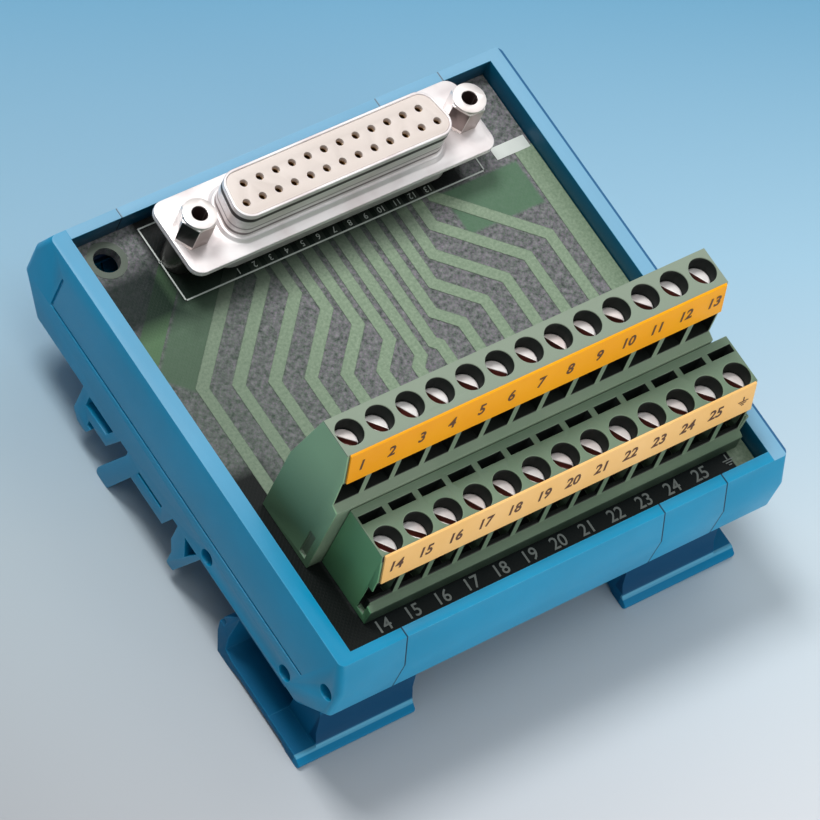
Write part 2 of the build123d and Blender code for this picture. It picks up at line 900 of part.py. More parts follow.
# Rear insulator: the block in the rear shell, which stands a little proud of it
rear_insulator_bottom = flange_bottom - rear_skirt_depth - rear_insulator_foot
with BuildPart() as dsub_rear_insulator:
    with BuildSketch(Plane.XY.offset(rear_insulator_bottom)):
        add(
            d_shape(
                inner_rear_length - 2 * insulator_clearance,
                inner_rear_width - 2 * insulator_clearance,
                skirt_round - skirt_sheet - insulator_clearance,
            )
        )
        with Locations(*contact_places):
            Circle(contact_tail_diameter / 2 + contact_clearance, mode=Mode.SUBTRACT)
    extrude(amount=flange_middle - rear_insulator_bottom)
save(dsub_rear_insulator.part, "dsub_rear_insulator")


# Contacts: a bored barrel in the front insulator and a tail through the board
tail_bottom = board_bottom - contact_tail_below_board
with BuildPart() as dsub_contacts:
    with BuildSketch(Plane.XY.offset(flange_middle)):
        with Locations(*contact_places):
            Circle(contact_barrel_diameter / 2)
    extrude(amount=barrel_top - flange_middle)
    with BuildSketch(Plane.XY.offset(barrel_top)):
        with Locations(*contact_places):
            Circle(contact_bore_diameter / 2)
    extrude(amount=-contact_bore_depth, mode=Mode.SUBTRACT)
    with BuildSketch(Plane.XY.offset(tail_bottom)):
        with Locations(*contact_places):
            Circle(contact_tail_diameter / 2)
    extrude(amount=flange_middle - tail_bottom)
save(dsub_contacts.part, "dsub_contacts")


# Spacers: posts between board and flange, bored for the jackscrews
with BuildPart() as flange_spacers:
    with BuildSketch(Plane.XY.offset(board_top)):
        with Locations(*jackscrew_places):
            Circle(spacer_diameter / 2)
    extrude(amount=flange_bottom - board_top)
    with BuildSketch(Plane.XY.offset(board_top)):
        with Locations(*jackscrew_places):
            Circle(spacer_stem_diameter / 2)
    extrude(amount=-board_thickness - spacer_stem_below_board)
    with BuildSketch(Plane.XY.offset(flange_bottom)):
        with Locations(*jackscrew_places):
            Circle(jackscrew_shank_diameter / 2 + spacer_bore_clearance)
    extrude(amount=-jackscrew_shank_length, mode=Mode.SUBTRACT)
save(flange_spacers.part, "flange_spacers")


# Jackscrews: six sided heads with a round collar and a threaded bore
with BuildPart() as jackscrews:
    with BuildSketch(Plane.XY.offset(flange_top)):
        with Locations(*jackscrew_places):
            RegularPolygon(jackscrew_across_flats / 2, 6, major_radius=False)
    extrude(amount=jackscrew_height - jackscrew_collar_height)
    with BuildSketch(Plane.XY.offset(flange_top + jackscrew_height)):
        with Locations(*jackscrew_places):
            Circle(jackscrew_collar_diameter / 2)
    extrude(amount=-jackscrew_collar_height)
    with BuildSketch(Plane.XY.offset(flange_top + jackscrew_height)):
        with Locations(*jackscrew_places):
            Circle(jackscrew_bore_diameter / 2)
    extrude(amount=-jackscrew_bore_depth, mode=Mode.SUBTRACT)
    with BuildSketch(Plane.XY.offset(flange_top)):
        with Locations(*jackscrew_places):
            Circle(jackscrew_shank_diameter / 2)
    extrude(amount=-(2 * flange_sheet + jackscrew_shank_length - 2 * board_clearance))
save(jackscrews.part, "jackscrews")


def housing_front(top_front_y, top):
    """Front of a terminal row from its top edge to the board: marker face, entry and leg."""
    marker_foot_y = top_front_y - marker_run
    entry_y = marker_foot_y + entry_setback
    leg_y = top_front_y - leg_overhang
    return [
        (top_front_y, top),
        (marker_foot_y, top - marker_face_drop),
        (entry_y, top - marker_face_drop - entry_setback),
        (entry_y - entry_slope, top - entry_top_drop - entry_height),
        (leg_y, top - entry_top_drop - entry_height - entry_lip),
        (leg_y, housing_standoff),
    ]


def on_board(points):
    """Lifts heights that are given above the board to heights above the ground."""
    return [(y, board_top + z) for y, z in points]


def pole_faces(centres, y, length, width):
    """The same rectangle at every pole of a row."""
    with BuildSketch() as faces:
        with Locations(*[(x, y) for x in centres]):
            Rectangle(length, width)
    return faces.sketch


def pole_circles(centres, y, diameter):
    """The same circle at every pole of a row."""
    with BuildSketch() as faces:
        with Locations(*[(x, y) for x in centres]):
            Circle(diameter / 2)
    return faces.sketch


def housing_body(points, centres, screw_y, pin_y, top):
    """A terminal row: its outline drawn out along X, with the room for clamp and screw."""
    top_z = board_top + top
    chamber_top = top_z - chamber_top_drop
    chamber_front_y = screw_y - chamber_width / 2
    first_x = centres[0] - pole_pitch / 2 + housing_end_trim
    pin_room = pin_thickness + 2 * pin_slot_clearance
    with BuildPart() as body:
        with BuildSketch(Plane.YZ.offset(first_x)):
            add(outline(on_board(points)))
        extrude(amount=housing_length)
        with BuildSketch(Plane.XY.offset(top_z)):
            add(pole_circles(centres, screw_y, well_diameter))
        extrude(amount=-well_depth, mode=Mode.SUBTRACT)
        with BuildSketch(Plane.XY.offset(top_z)):
            add(pole_circles(centres, screw_y, screw_shank_diameter + 2 * shank_clearance))
        extrude(amount=-chamber_top_drop, mode=Mode.SUBTRACT)
        with BuildSketch(Plane.XY.offset(chamber_top)):
            add(pole_faces(centres, screw_y, chamber_length, chamber_width))
        extrude(amount=-chamber_height, mode=Mode.SUBTRACT)
        # Wire entries from the front into the chambers
        funnel_middle = top_z - entry_top_drop - entry_height / 2
        front_y = min(y for y, z in points)
        with BuildSketch(Plane.XZ.offset(-front_y)):
            with Locations(*[(x, funnel_middle) for x in centres]):
                Rectangle(funnel_length, funnel_height)
        extrude(amount=-(chamber_front_y - front_y), mode=Mode.SUBTRACT)
        # Ways for the pins from the chambers down to the board
        with BuildSketch(Plane.XY.offset(chamber_top - chamber_height / 2)):
            add(pole_faces(centres, pin_y, pin_room, pin_room))
        extrude(amount=-(chamber_top - chamber_height / 2 - board_top), mode=Mode.SUBTRACT)
        # Tooth on the right end and the groove for such a tooth in the left end
        tooth_y = front_y + tooth_inset
        tooth_z = board_top + tooth_rise + tooth_height / 2
        with BuildSketch(Plane.YZ.offset(first_x + housing_length)):
            with Locations((tooth_y, tooth_z)):
                Rectangle(tooth_width, tooth_height)
        extrude(amount=tooth_depth)
        with BuildSketch(Plane.YZ.offset(first_x)):
            with Locations((tooth_y, tooth_z)):
                Rectangle(tooth_width + 2 * tooth_clearance, tooth_height + 2 * tooth_clearance)
        extrude(amount=tooth_depth + tooth_clearance, mode=Mode.SUBTRACT)
    return body.part


# Upper housing: the tall row behind, with a leaning back and a cored foot
upper_points = [
    (upper_back_y, housing_standoff),
    (upper_back_y, upper_lean_height),
    (upper_back_y - upper_lean, upper_top),
] + housing_front(upper_top_front_y, upper_top)
with BuildPart() as terminal_housing_upper:
    add(housing_body(upper_points, upper_centres, upper_screw_y, upper_pin_y, upper_top))
    core_back = upper_pin_y - pin_thickness / 2 - pin_slot_clearance - core_wall
    core_front = upper_leg_y + tooth_inset + tooth_width / 2 + core_wall
    with BuildSketch(Plane.XY.offset(board_top + housing_standoff)):
        add(
            pole_faces(
                upper_centres,
                (core_back + core_front) / 2,
                pole_pitch - core_wall,
                core_back - core_front,
            )
        )
    extrude(amount=core_height, mode=Mode.SUBTRACT)
save(terminal_housing_upper.part, "terminal_housing_upper")


# Lower housing: the short row in front, with a row of slots behind its screws
lower_points = [
    (lower_back_y, housing_standoff),
    (lower_back_y, lower_top),
] + housing_front(lower_top_front_y, lower_top)
with BuildPart() as terminal_housing_lower:
    add(housing_body(lower_points, lower_centres, lower_screw_y, lower_pin_y, lower_top))
    with BuildSketch(Plane.XY.offset(board_top + lower_top)):
        add(pole_faces(lower_centres, lower_back_y - slot_setback, slot_length, slot_width))
    extrude(amount=-slot_depth, mode=Mode.SUBTRACT)
save(terminal_housing_lower.part, "terminal_housing_lower")


def clamp_cages(centres, screw_y, top):
    """Clamp cages, open at front and back, with a threaded hole for the screw."""
    cage_top = board_top + top - cage_top_drop
    outer_length = chamber_length - 2 * cage_clearance
    outer_width = chamber_width - 2 * pin_thickness - 2 * cage_clearance
    with BuildPart() as cages:
        with BuildSketch(Plane.XY.offset(cage_top)):
            add(pole_faces(centres, screw_y, outer_length, outer_width))
        extrude(amount=-cage_height)
        with BuildSketch(Plane.XY.offset(cage_top - cage_wall)):
            add(pole_faces(centres, screw_y, outer_length - 2 * cage_side_wall, outer_width))
        extrude(amount=-(cage_height - 2 * cage_wall), mode=Mode.SUBTRACT)
        with BuildSketch(Plane.XY.offset(cage_top)):
            add(pole_circles(centres, screw_y, screw_shank_diameter + shank_clearance))
        extrude(amount=-cage_wall, mode=Mode.SUBTRACT)
    return cages.part


with BuildPart() as clamp_cages_upper:
    add(clamp_cages(upper_centres, upper_screw_y, upper_top))
save(clamp_cages_upper.part, "clamp_cages_upper")

with BuildPart() as clamp_cages_lower:
    add(clamp_cages(lower_centres, lower_screw_y, lower_top))
save(clamp_cages_lower.part, "clamp_cages_lower")


def terminal_pins(centres, screw_y, pin_y, top):
    """Bars under the screws, bent down into pins that go through the board."""
    bar_top = board_top + top - bar_drop
    bar_front = screw_y - chamber_width / 2 + pin_thickness
    bar_back = pin_y + pin_thickness / 2
    pin_bottom = board_bottom - pin_below_board
    with BuildPart() as pins:
        with BuildSketch(Plane.XY.offset(bar_top)):
            add(pole_faces(centres, (bar_front + bar_back) / 2, bar_length, bar_back - bar_front))
        extrude(amount=-bar_thickness)
        with BuildSketch(Plane.XY.offset(bar_top)):
            add(pole_faces(centres, pin_y, pin_thickness, pin_thickness))
        extrude(amount=-(bar_top - pin_bottom))
    return pins.part


with BuildPart() as terminal_pins_upper:
    add(terminal_pins(upper_centres, upper_screw_y, upper_pin_y, upper_top))
save(terminal_pins_upper.part, "terminal_pins_upper")

with BuildPart() as terminal_pins_lower:
    add(terminal_pins(lower_centres, lower_screw_y, lower_pin_y, lower_top))
save(terminal_pins_lower.part, "terminal_pins_lower")


def marker_strip(first_x, top_front_y, top):
    """Marker strip that lies on the sloped face and hooks under its lower edge."""
    slope = marker_run / marker_face_drop
    out = marker_thickness
    foot_y = top_front_y - marker_run
    foot_z = top - marker_face_drop
    points = [
        (top_front_y - marker_gap + slope * marker_rise, top + marker_rise),
        (foot_y - marker_gap, foot_z),
        (foot_y - marker_gap - out, foot_z + out * slope),
        (top_front_y - marker_gap - out + slope * marker_rise, top + marker_rise - out * slope),
    ]
    start_x = first_x - pole_pitch / 2 + housing_end_trim + marker_end_inset
    with BuildPart() as strip:
        with BuildSketch(Plane.YZ.offset(start_x)):
            add(outline(on_board(points)))
        extrude(amount=housing_length - 2 * marker_end_inset)
    return strip.part


with BuildPart() as marker_strip_upper:
    add(marker_strip(upper_centres[0], upper_top_front_y, upper_top))
save(marker_strip_upper.part, "marker_strip_upper")

with BuildPart() as marker_strip_lower:
    add(marker_strip(lower_centres[0], lower_top_front_y, lower_top))
save(marker_strip_lower.part, "marker_strip_lower")


# Clamp screws, one by one: slotted head in its well and a shank down to the bar
def clamp_screw(place_x, place_y, top, slot_angle):
    """Slotted screw with its head below the top of the housing."""
    head_top = board_top + top - screw_head_depth
    head_bottom = head_top - screw_head_height
    with BuildPart() as screw:
        with BuildSketch(Plane.XY.offset(head_bottom)):
            with Locations((place_x, place_y)):
                Circle(screw_head_diameter / 2)
        extrude(amount=screw_head_height)
        chamfer(screw.edges().group_by(Axis.Z)[-1], screw_edge)
        with BuildSketch(Plane.XY.offset(head_bottom)):
            with Locations((place_x, place_y)):
                Circle(screw_shank_diameter / 2)
        extrude(amount=-shank_length)
        with BuildSketch(Plane.XY.offset(head_top)):
            with Locations(Location((place_x, place_y), slot_angle)):
                Rectangle(screw_head_diameter + cut_overlap, screw_slot_width)
        extrude(amount=-screw_slot_depth, mode=Mode.SUBTRACT)
    return screw.part


screw_rows = [
    (upper_centres, upper_screw_y, upper_top),
    (lower_centres, lower_screw_y, lower_top),
]
screw_number = 0
for row_centres, row_y, row_top in screw_rows:
    for screw_x in row_centres:
        screw_number += 1
        turn = screw_slot_angle + screw_slot_spread * sin(radians(screw_slot_step * screw_number))
        with BuildPart() as terminal_screw:
            add(clamp_screw(screw_x, row_y, row_top, turn))
        save(terminal_screw.part, f"terminal_screw_{screw_number:02d}")
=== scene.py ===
"""Looks of the D-sub terminal block adapter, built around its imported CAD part.

The scene is in metres, in the part's own frame: X along the terminals, Y from the terminals
to the connector, Z up, with the ground at zero. Named sizes and places are millimetres, which
MM turns into metres.
"""

from math import pi, radians, sqrt

import bmesh
import bpy
from mathutils import Matrix, Vector


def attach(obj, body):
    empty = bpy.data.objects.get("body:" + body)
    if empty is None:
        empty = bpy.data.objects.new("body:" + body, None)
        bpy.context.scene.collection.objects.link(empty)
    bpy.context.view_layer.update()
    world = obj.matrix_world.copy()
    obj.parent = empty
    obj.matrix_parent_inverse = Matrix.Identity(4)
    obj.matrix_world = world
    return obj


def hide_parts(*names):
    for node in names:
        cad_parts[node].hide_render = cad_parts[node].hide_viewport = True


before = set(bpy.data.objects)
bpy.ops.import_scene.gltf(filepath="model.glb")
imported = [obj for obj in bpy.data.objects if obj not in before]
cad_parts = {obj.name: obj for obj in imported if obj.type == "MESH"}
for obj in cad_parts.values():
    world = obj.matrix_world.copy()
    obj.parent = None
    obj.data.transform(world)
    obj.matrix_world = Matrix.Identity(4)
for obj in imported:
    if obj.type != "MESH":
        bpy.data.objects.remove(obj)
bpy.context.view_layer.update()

MM = 0.001


# Sizes shared with the CAD part, in millimetres

BOARD_TOP = 23.1
POLES = 13
POLE_PITCH = 5.08
UPPER_FIRST_X, LOWER_FIRST_X = -30.8, -28.26
UPPER_SCREW_Y, LOWER_SCREW_Y = -15.1, -26.95
UPPER_TOP, LOWER_TOP = 49.35, 37.5
UPPER_EDGE_Y, LOWER_EDGE_Y = -18.15, -28.9
MARKER_RUN, MARKER_DROP = 1.35, 5.2
HEAD_SINK = 2.4
HEAD_HEIGHT = 2.1
HEAD_RADIUS = 2.0
CONTACT_PITCH = 2.77
DSUB_X, DSUB_Y = 1.15, 28.05
FLANGE_TOP = 29.75
SKIRT_TOP = FLANGE_TOP + 5.85
JACKSCREW_AWAY = 23.52
TRAY_SEAMS = (-28.125, 16.875, 28.125)


# Node helpers


def add_node(tree, kind, place=(0, 0), **settings):
    """Adds a shader node and sets its properties and unlinked inputs."""
    node = tree.nodes.new(kind)
    node.location = place
    for key, value in settings.items():
        if hasattr(node, key):
            setattr(node, key, value)
        else:
            node.inputs[key.replace("_", " ")].default_value = value
    return node


def add_multiply(tree, factor, place):
    """Adds a math node that multiplies what comes in by a factor."""
    node = add_node(tree, "ShaderNodeMath", place, operation="MULTIPLY")
    node.inputs[1].default_value = factor
    return node


def new_group(name, inputs, outputs):
    """Starts a shader node group with its sockets, and returns it with its two end nodes."""
    group = bpy.data.node_groups.new(name, "ShaderNodeTree")
    for label, kind, value in inputs:
        socket = group.interface.new_socket(label, in_out="INPUT", socket_type=kind)
        socket.default_value = value
    for label, kind in outputs:
        group.interface.new_socket(label, in_out="OUTPUT", socket_type=kind)
    start = group.nodes.new("NodeGroupInput")
    end = group.nodes.new("NodeGroupOutput")
    start.location = (-900, 0)
    end.location = (700, 0)
    return group, start, end


def use_group(tree, group, place, **values):
    """Places a node group in a material with its own values."""
    node = add_node(tree, "ShaderNodeGroup", place, node_tree=group)
    for key, value in values.items():
        node.inputs[key.replace("_", " ")].default_value = value
    return node


# Node groups

FLOAT = "NodeSocketFloat"
COLOUR = "NodeSocketColor"
VECTOR = "NodeSocketVector"
FINE_TO_COARSE = 4.3


def make_grain_group():
    """Fine moulded surface: two sizes of noise, as a height."""
    group, start, end = new_group(
        "Moulded_Grain",
        [("Scale", FLOAT, 2000.0), ("Fine Share", FLOAT, 0.4)],
        [("Height", FLOAT), ("Coarse", FLOAT)],
    )
    place = add_node(group, "ShaderNodeTexCoord", (-900, 250))
    coarse = add_node(group, "ShaderNodeTexNoise", (-500, 200), Detail=3.0, Roughness=0.6)
    fine = add_node(group, "ShaderNodeTexNoise", (-500, -100), Detail=2.0, Roughness=0.5)
    fine_scale = add_multiply(group, FINE_TO_COARSE, (-700, -150))
    mix = add_node(group, "ShaderNodeMix", (100, 0))
    group.links.new(place.outputs["Object"], coarse.inputs["Vector"])
    group.links.new(place.outputs["Object"], fine.inputs["Vector"])
    group.links.new(start.outputs["Scale"], coarse.inputs["Scale"])
    group.links.new(start.outputs["Scale"], fine_scale.inputs[0])
    group.links.new(fine_scale.outputs[0], fine.inputs["Scale"])
    group.links.new(start.outputs["Fine Share"], mix.inputs["Factor"])
    group.links.new(coarse.outputs["Fac"], mix.inputs["A"])
    group.links.new(fine.outputs["Fac"], mix.inputs["B"])
    group.links.new(mix.outputs["Result"], end.inputs["Height"])
    group.links.new(coarse.outputs["Fac"], end.inputs["Coarse"])
    return group


def make_drift_group():
    """Slow change between two colours over a piece."""
    group, start, end = new_group(
        "Colour_Drift",
        [
            ("Colour A", COLOUR, (0.5, 0.5, 0.5, 1)),
            ("Colour B", COLOUR, (0.6, 0.6, 0.6, 1)),
            ("Scale", FLOAT, 60.0),
        ],
        [("Colour", COLOUR), ("Mask", FLOAT)],
    )
    place = add_node(group, "ShaderNodeTexCoord", (-900, 250))
    noise = add_node(group, "ShaderNodeTexNoise", (-600, 200), Detail=4.0, Roughness=0.62)
    spread = add_node(group, "ShaderNodeMapRange", (-350, 200), From_Min=0.33, From_Max=0.67)
    mix = add_node(group, "ShaderNodeMix", (100, 0), data_type="RGBA")
    group.links.new(place.outputs["Object"], noise.inputs["Vector"])
    group.links.new(start.outputs["Scale"], noise.inputs["Scale"])
    group.links.new(noise.outputs["Fac"], spread.inputs["Value"])
    group.links.new(spread.outputs["Result"], mix.inputs["Factor"])
    group.links.new(start.outputs["Colour A"], mix.inputs["A"])
    group.links.new(start.outputs["Colour B"], mix.inputs["B"])
    group.links.new(mix.outputs["Result"], end.inputs["Colour"])
    group.links.new(spread.outputs["Result"], end.inputs["Mask"])
    return group


def make_edge_group():
    """Mask along outer edges, broken up by noise, for the painted highlights and shades along
    the edges of the plastics.
    """
    group, start, end = new_group(
        "Edge_Mask",
        [("Width", FLOAT, 0.0003), ("Breakup", FLOAT, 0.5), ("Scale", FLOAT, 900.0)],
        [("Mask", FLOAT)],
    )
    place = add_node(group, "ShaderNodeTexCoord", (-900, 300))
    geometry = add_node(group, "ShaderNodeNewGeometry", (-900, -300))
    bevel = add_node(group, "ShaderNodeBevel", (-650, 0), samples=6)
    dot = add_node(group, "ShaderNodeVectorMath", (-400, 0), operation="DOT_PRODUCT")
    rise = add_node(group, "ShaderNodeMapRange", (-150, 0), From_Min=0.995, From_Max=0.86)
    noise = add_node(group, "ShaderNodeTexNoise", (-650, 300), Detail=4.0, Roughness=0.7)
    breakup = add_node(group, "ShaderNodeMapRange", (-150, 300), From_Min=0.4, From_Max=0.6)
    blend = add_node(group, "ShaderNodeMix", (150, 300), A=1.0)
    result = add_node(group, "ShaderNodeMath", (400, 0), operation="MULTIPLY")
    group.links.new(start.outputs["Width"], bevel.inputs["Radius"])
    group.links.new(bevel.outputs["Normal"], dot.inputs[0])
    group.links.new(geometry.outputs["Normal"], dot.inputs[1])
    group.links.new(dot.outputs["Value"], rise.inputs["Value"])
    group.links.new(place.outputs["Object"], noise.inputs["Vector"])
    group.links.new(start.outputs["Scale"], noise.inputs["Scale"])
    group.links.new(noise.outputs["Fac"], breakup.inputs["Value"])
    group.links.new(start.outputs["Breakup"], blend.inputs["Factor"])
    group.links.new(breakup.outputs["Result"], blend.inputs["B"])
    group.links.new(rise.outputs["Result"], result.inputs[0])
    group.links.new(blend.outputs["Result"], result.inputs[1])
    group.links.new(result.outputs[0], end.inputs["Mask"])
    return group


def make_streak_group():
    """Long fine streaks along one axis, as plating and drawn metal show them."""
    group, start, end = new_group(
        "Drawn_Streaks",
        [("Scale", FLOAT, 900.0)],
        [("Height", FLOAT), ("Mask", FLOAT)],
    )
    place = add_node(group, "ShaderNodeTexCoord", (-900, 300))
    stretch = add_node(group, "ShaderNodeMapping", (-650, 300), Scale=(0.04, 1.0, 1.0))
    noise = add_node(group, "ShaderNodeTexNoise", (-400, 300), Detail=4.0, Roughness=0.65)
    spots = add_node(group, "ShaderNodeTexNoise", (-400, 0), Detail=3.0, Scale=140.0)
    rise = add_node(group, "ShaderNodeMapRange", (-100, 0), From_Min=0.42, From_Max=0.7)
    group.links.new(place.outputs["Object"], stretch.inputs["Vector"])
    group.links.new(stretch.outputs["Vector"], noise.inputs["Vector"])
    group.links.new(start.outputs["Scale"], noise.inputs["Scale"])
    group.links.new(place.outputs["Object"], spots.inputs["Vector"])
    group.links.new(spots.outputs["Fac"], rise.inputs["Value"])
    group.links.new(noise.outputs["Fac"], end.inputs["Height"])
    group.links.new(rise.outputs["Result"], end.inputs["Mask"])
    return group


def make_box_group():
    """Mask of the points inside a box, which fades in over a soft border along each axis."""
    group, start, end = new_group(
        "Box_Mask",
        [
            ("Place", VECTOR, (0, 0, 0)),
            ("Centre", VECTOR, (0, 0, 0)),
            ("Half", VECTOR, (1, 1, 1)),
            ("Soft", VECTOR, (0.0002, 0.0002, 0.0002)),
        ],
        [("Mask", FLOAT)],
    )
    away = add_node(group, "ShaderNodeVectorMath", (-650, 0), operation="SUBTRACT")
    size = add_node(group, "ShaderNodeVectorMath", (-450, 0), operation="ABSOLUTE")
    past = add_node(group, "ShaderNodeVectorMath", (-250, 0), operation="SUBTRACT")
    share = add_node(group, "ShaderNodeVectorMath", (-50, 0), operation="DIVIDE")
    split = add_node(group, "ShaderNodeSeparateXYZ", (120, 0))
    wide = add_node(group, "ShaderNodeMath", (290, 100), operation="MAXIMUM")
    most = add_node(group, "ShaderNodeMath", (450, 0), operation="MAXIMUM")
    inside = add_multiply(group, -1.0, (600, 0))
    inside.use_clamp = True
    group.links.new(start.outputs["Place"], away.inputs[0])
    group.links.new(start.outputs["Centre"], away.inputs[1])
    group.links.new(away.outputs[0], size.inputs[0])
    group.links.new(size.outputs[0], past.inputs[0])
    group.links.new(start.outputs["Half"], past.inputs[1])
    group.links.new(past.outputs[0], share.inputs[0])
    group.links.new(start.outputs["Soft"], share.inputs[1])
    group.links.new(share.outputs[0], split.inputs["Vector"])
    group.links.new(split.outputs["X"], wide.inputs[0])
    group.links.new(split.outputs["Y"], wide.inputs[1])
    group.links.new(wide.outputs[0], most.inputs[0])
    group.links.new(split.outputs["Z"], most.inputs[1])
    group.links.new(most.outputs[0], inside.inputs[0])
    group.links.new(inside.outputs[0], end.inputs["Mask"])
    return group


def make_pole_group():
    """Place of a point as seen from its own pole: X starts again at every pole of a row."""
    group, start, end = new_group("Pole_Place", [("First X", FLOAT, 0.0)], [("Place", VECTOR)])
    place = add_node(group, "ShaderNodeTexCoord", (-900, 250))
    split = add_node(group, "ShaderNodeSeparateXYZ", (-650, 0))
    away = add_node(group, "ShaderNodeMath", (-400, 0), operation="SUBTRACT")
    wrap = add_node(group, "ShaderNodeMath", (-200, 0), operation="WRAP")
    wrap.inputs[1].default_value = POLE_PITCH / 2 * MM
    wrap.inputs[2].default_value = -POLE_PITCH / 2 * MM
    whole = add_node(group, "ShaderNodeCombineXYZ", (200, 0))
    group.links.new(place.outputs["Object"], split.inputs["Vector"])
    group.links.new(split.outputs["X"], away.inputs[0])
    group.links.new(start.outputs["First X"], away.inputs[1])
    group.links.new(away.outputs[0], wrap.inputs[0])
    group.links.new(wrap.outputs[0], whole.inputs["X"])
    group.links.new(split.outputs["Y"], whole.inputs["Y"])
    group.links.new(split.outputs["Z"], whole.inputs["Z"])
    group.links.new(whole.outputs["Vector"], end.inputs["Place"])
    return group


def make_upright_group():
    """Mask of the faces that stand upright."""
    upright_limit = 0.3
    group, start, end = new_group("Upright_Faces", [("Soft", FLOAT, 0.4)], [("Mask", FLOAT)])
    geometry = add_node(group, "ShaderNodeNewGeometry", (-900, 0))
    split = add_node(group, "ShaderNodeSeparateXYZ", (-700, 0))
    size = add_node(group, "ShaderNodeMath", (-500, 0), operation="ABSOLUTE")
    flat_limit = add_node(group, "ShaderNodeMath", (-350, 200), operation="ADD")
    flat_limit.inputs[1].default_value = upright_limit
    rise = add_node(group, "ShaderNodeMapRange", (-200, 0), From_Max=upright_limit)
    group.links.new(geometry.outputs["Normal"], split.inputs["Vector"])
    group.links.new(split.outputs["Z"], size.inputs[0])
    group.links.new(size.outputs[0], rise.inputs["Value"])
    group.links.new(start.outputs["Soft"], flat_limit.inputs[0])
    group.links.new(flat_limit.outputs[0], rise.inputs["From Min"])
    group.links.new(rise.outputs["Result"], end.inputs["Mask"])
    return group


def make_hatch_group():
    """Crossed hatch of the copper fill under the solder mask, as a mask of its lines."""
    group, start, end = new_group("Copper_Hatch", [("Pitch", FLOAT, 0.0005)], [("Lines", FLOAT)])
    place = add_node(group, "ShaderNodeTexCoord", (-900, 0))
    turned = add_node(group, "ShaderNodeMapping", (-700, 0), Rotation=(0, 0, radians(45)))
    split = add_node(group, "ShaderNodeSeparateXYZ", (-500, 0))
    rate = add_node(group, "ShaderNodeMath", (-500, 200), operation="DIVIDE")
    rate.inputs[0].default_value = 2 * pi
    most = add_node(group, "ShaderNodeMath", (100, 0), operation="MAXIMUM")
    edge = add_node(group, "ShaderNodeMapRange", (300, 0), From_Min=0.1, From_Max=0.7)
    group.links.new(start.outputs["Pitch"], rate.inputs[1])
    group.links.new(place.outputs["Object"], turned.inputs["Vector"])
    group.links.new(turned.outputs["Vector"], split.inputs["Vector"])
    for index, axis in enumerate(("X", "Y")):
        cycle = add_node(group, "ShaderNodeMath", (-300, -200 * index), operation="MULTIPLY")
        wave = add_node(group, "ShaderNodeMath", (-100, -200 * index), operation="SINE")
        group.links.new(split.outputs[axis], cycle.inputs[0])
        group.links.new(rate.outputs[0], cycle.inputs[1])
        group.links.new(cycle.outputs[0], wave.inputs[0])
        group.links.new(wave.outputs[0], most.inputs[index])
    group.links.new(most.outputs[0], edge.inputs["Value"])
    group.links.new(edge.outputs["Result"], end.inputs["Lines"])
    return group


GRAIN = make_grain_group()
DRIFT = make_drift_group()
EDGE = make_edge_group()
STREAKS = make_streak_group()
BOX = make_box_group()
POLE = make_pole_group()
UPRIGHT = make_upright_group()
HATCH = make_hatch_group()


# Material helpers

RELIEF_DISTANCE = 0.0001
PLATING_BUMP = 0.05


def rgb(red, green, blue):
    """Colour from 0 to 255 display values, as the linear value that a shader takes."""
    def linear(value):
        value = value / 255
        return value / 12.92 if value <= 0.04045 else ((value + 0.055) / 1.055) ** 2.4

    return (linear(red), linear(green), linear(blue), 1.0)


def start_material(name, **shader_values):
    """New material with a Principled shader whose constants are set on its own sockets."""
    material = bpy.data.materials.new(name)
    material.use_nodes = True
    tree = material.node_tree
    shader = tree.nodes["Principled BSDF"]
    for key, value in shader_values.items():
        shader.inputs[key.replace("_", " ")].default_value = value
    return material, tree, shader


def add_gloss(tree, shader, source, low, high):
    """Lets the roughness follow a value, between two levels."""
    gloss = add_node(tree, "ShaderNodeMapRange", (-400, 0), To_Min=low, To_Max=high)
    tree.links.new(source, gloss.inputs["Value"])
    tree.links.new(gloss.outputs["Result"], shader.inputs["Roughness"])


def add_relief(tree, shader, source, bump, distance=RELIEF_DISTANCE):
    """Lets the surface follow a height."""
    relief = add_node(tree, "ShaderNodeBump", (-400, -250), Strength=bump, Distance=distance)
    tree.links.new(source, relief.inputs["Height"])
    tree.links.new(relief.outputs["Normal"], shader.inputs["Normal"])


def plastic(name, colour, other, edge, grain_scale, bump, rough, rough_spread=0.05,
            edge_width=0.0003, edge_share=0.6, drift_scale=55.0, specular=0.5):
    """Moulded plastic: drifting colour, another tone at the edges as a painted highlight (a
    painted shade where that tone is darker), fine grain in its surface.
    """
    material, tree, shader = start_material(name, Specular_IOR_Level=specular)
    drift = use_group(tree, DRIFT, (-900, 300), Colour_A=colour, Colour_B=other,
                      Scale=drift_scale)
    grain = use_group(tree, GRAIN, (-900, -100), Scale=grain_scale)
    edges = use_group(tree, EDGE, (-900, -400), Width=edge_width)
    strength = add_multiply(tree, edge_share, (-600, -400))
    tint = add_node(tree, "ShaderNodeMix", (-400, 300), data_type="RGBA", B=edge)
    tree.links.new(edges.outputs["Mask"], strength.inputs[0])
    tree.links.new(drift.outputs["Colour"], tint.inputs["A"])
    tree.links.new(strength.outputs[0], tint.inputs["Factor"])
    tree.links.new(tint.outputs["Result"], shader.inputs["Base Color"])
    add_gloss(tree, shader, grain.outputs["Coarse"], rough - rough_spread, rough + rough_spread)
    add_relief(tree, shader, grain.outputs["Height"], bump)
    return material


